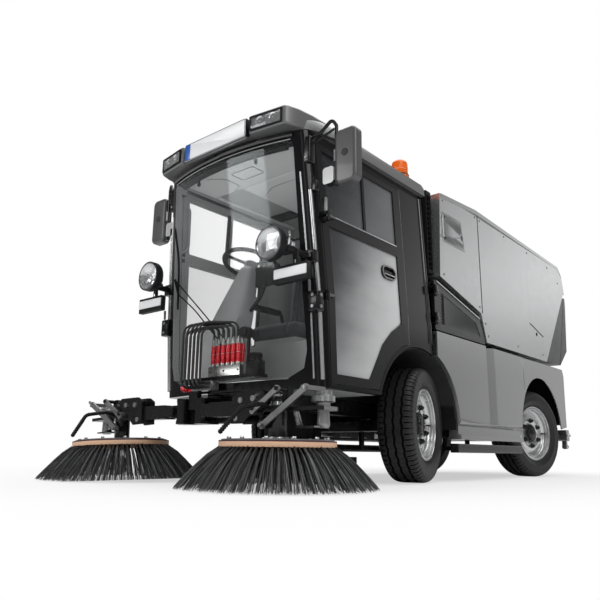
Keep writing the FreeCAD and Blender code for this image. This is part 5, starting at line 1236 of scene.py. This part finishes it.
# A camera that looks along its yaw and pitch and is rolled about that line.
def makeCamera(s):
    yaw, pitch, roll = (math.radians(s[k]) for k in ("yaw", "pitch", "roll"))
    ahead = np.array([math.cos(yaw) * math.cos(pitch), math.sin(yaw) * math.cos(pitch), math.sin(pitch)])
    right = np.cross(ahead, [0, 0, 1.0])
    right /= np.linalg.norm(right)
    up = np.cross(right, ahead)
    x = right * math.cos(roll) + up * math.sin(roll)
    y = -right * math.sin(roll) + up * math.cos(roll)
    data = bpy.data.cameras.new("camera")
    data.sensor_width, data.lens = s["sensor"], s["focalPixels"] / s["picturePixels"] * s["sensor"]
    camera = addObject("camera", data)
    setPlace(camera, np.stack([x, y, -ahead], 1), s["place"])
    bpy.context.scene.camera = camera


# White for the camera and through glass, a graded room for mirrors, and a plain level for the light.
def lightWorld(tree, s):
    path = addNode(tree, "ShaderNodeLightPath").outputs
    ray = addNode(tree, "ShaderNodeTexCoord").outputs["Generated"]
    x, y, height = addNode(tree, "ShaderNodeSeparateXYZ", {"Vector": ray}).outputs
    turn = spread(tree, maths(tree, "ARCTAN2", y, x), 0.0, 1.0, -math.pi, math.pi)
    ramps = []
    for value, stops in ((height, s["heightStops"]), (turn, s["turnStops"])):
        ramp = addNode(tree, "ShaderNodeValToRGB", {"Fac": value})
        for place, level in stops[1:-1]:
            ramp.color_ramp.elements.new(place)
        for element, (place, level) in zip(ramp.color_ramp.elements, stops):
            element.position, element.color = place, (level, level, level, 1)
        ramps.append(ramp.outputs["Color"])
    room = addNode(tree, "ShaderNodeMix", data_type="RGBA", blend_type="MULTIPLY")
    feed(tree, room, {"Factor": 1.0, "A": ramps[0], "B": ramps[1]})
    bright = addNode(tree, "ShaderNodeVectorMath", {0: room.outputs["Result"], "Scale": s["mirrorGain"]},
                     operation="SCALE").outputs[0]
    mixed = blended(tree, path["Is Glossy Ray"], (s["plain"],) * 3, bright)
    seen = maths(tree, "MAXIMUM", path["Is Camera Ray"], path["Is Transmission Ray"])
    feed(tree, tree.nodes["Background"], {"Color": blended(tree, seen, mixed, (1, 1, 1)), "Strength": 1.0})


lightSizes = {
    "plain": 0.62, "mirrorGain": 1.35, "shadowReach": (1.6, 4.0), "shadowLight": 0.55, "floorHalf": 14,
    "floorLevel": -0.0005,
    "heightStops": [(0.0, 0.42), (0.06, 0.48), (0.12, 0.44), (0.17, 0.56), (0.215, 0.92), (0.27, 1.0),
                    (0.35, 0.7), (0.42, 0.52), (0.5, 0.26), (0.68, 0.3), (0.8, 1.0), (1.0, 1.0)],
    "turnStops": [(0.0, 0.45), (0.3, 0.16), (0.4, 0.22), (0.445, 0.14), (0.5, 0.14), (0.555, 0.16),
                  (0.565, 1.0), (0.59, 1.0), (0.6, 0.14), (0.7, 0.12), (0.712, 0.95), (0.74, 0.95),
                  (0.752, 0.16), (0.84, 0.2), (0.885, 0.3), (0.918, 0.56), (0.932, 0.8), (0.948, 1.0),
                  (0.965, 0.95), (1.0, 0.45)],
    "lamps": {  # place, aim, size, power
        "key": ((2.5, 4.5, 4.2), (-0.5, 0.3, 1.0), 2.5, 60),
        "fill": ((5.5, -2.5, 3.0), (0.8, -0.2, 1.0), 2.0, 60),
        "top": ((-0.5, 0.2, 5.5), (-0.5, 0, 0), 5.0, 130)},
}


# A pale floor that the camera sees turn to plain white away from the object.
def makeFloor(s):
    half, level = s["floorHalf"], s["floorLevel"]
    corners = [(-half, -half, level), (-half, half, level), (half, -half, level), (half, half, level)]
    mesh = bpy.data.meshes.new("floor")
    mesh.from_pydata(corners, [], [(2, 3, 1, 0)])
    material, tree, shader, place = finishNodes("floorPale")
    feed(tree, shader, {"Base Color": (0.97, 0.97, 0.97, 1), "Roughness": 0.9})
    middle = addNode(tree, "ShaderNodeVectorMath", {0: place}, operation="LENGTH").outputs["Value"]
    white = spread(tree, middle, s["shadowLight"], 1.0, *s["shadowReach"], interpolation_type="SMOOTHSTEP")
    amount = maths(tree, "MULTIPLY", white, addNode(tree, "ShaderNodeLightPath").outputs["Is Camera Ray"])
    glow = addNode(tree, "ShaderNodeEmission", {"Color": (1, 1, 1, 1), "Strength": 1.0}).outputs[0]
    both = addNode(tree, "ShaderNodeMixShader", {0: amount, 1: shader.outputs[0], 2: glow}).outputs[0]
    tree.links.new(both, tree.nodes["Material Output"].inputs["Surface"])
    mesh.materials.append(material)
    addObject("floor", mesh)


# The studio's world and its square lamps, each turned to its aim.
def makeLight(s):
    world = bpy.data.worlds.new("studio")
    bpy.context.scene.world = world
    world.use_nodes = True
    lightWorld(world.node_tree, s)
    for name, (place, aim, size, power) in s["lamps"].items():
        data = bpy.data.lights.new(name, "AREA")
        data.shape, data.size, data.energy = "SQUARE", size, power
        setPlace(addObject(name, data), axes(np.subtract(place, aim)), place)


makeCamera(cameraSizes)
makeLight(lightSizes)
makeFloor(lightSizes)
bpy.context.scene.view_settings.view_transform = "Standard"
print("camera and light set")
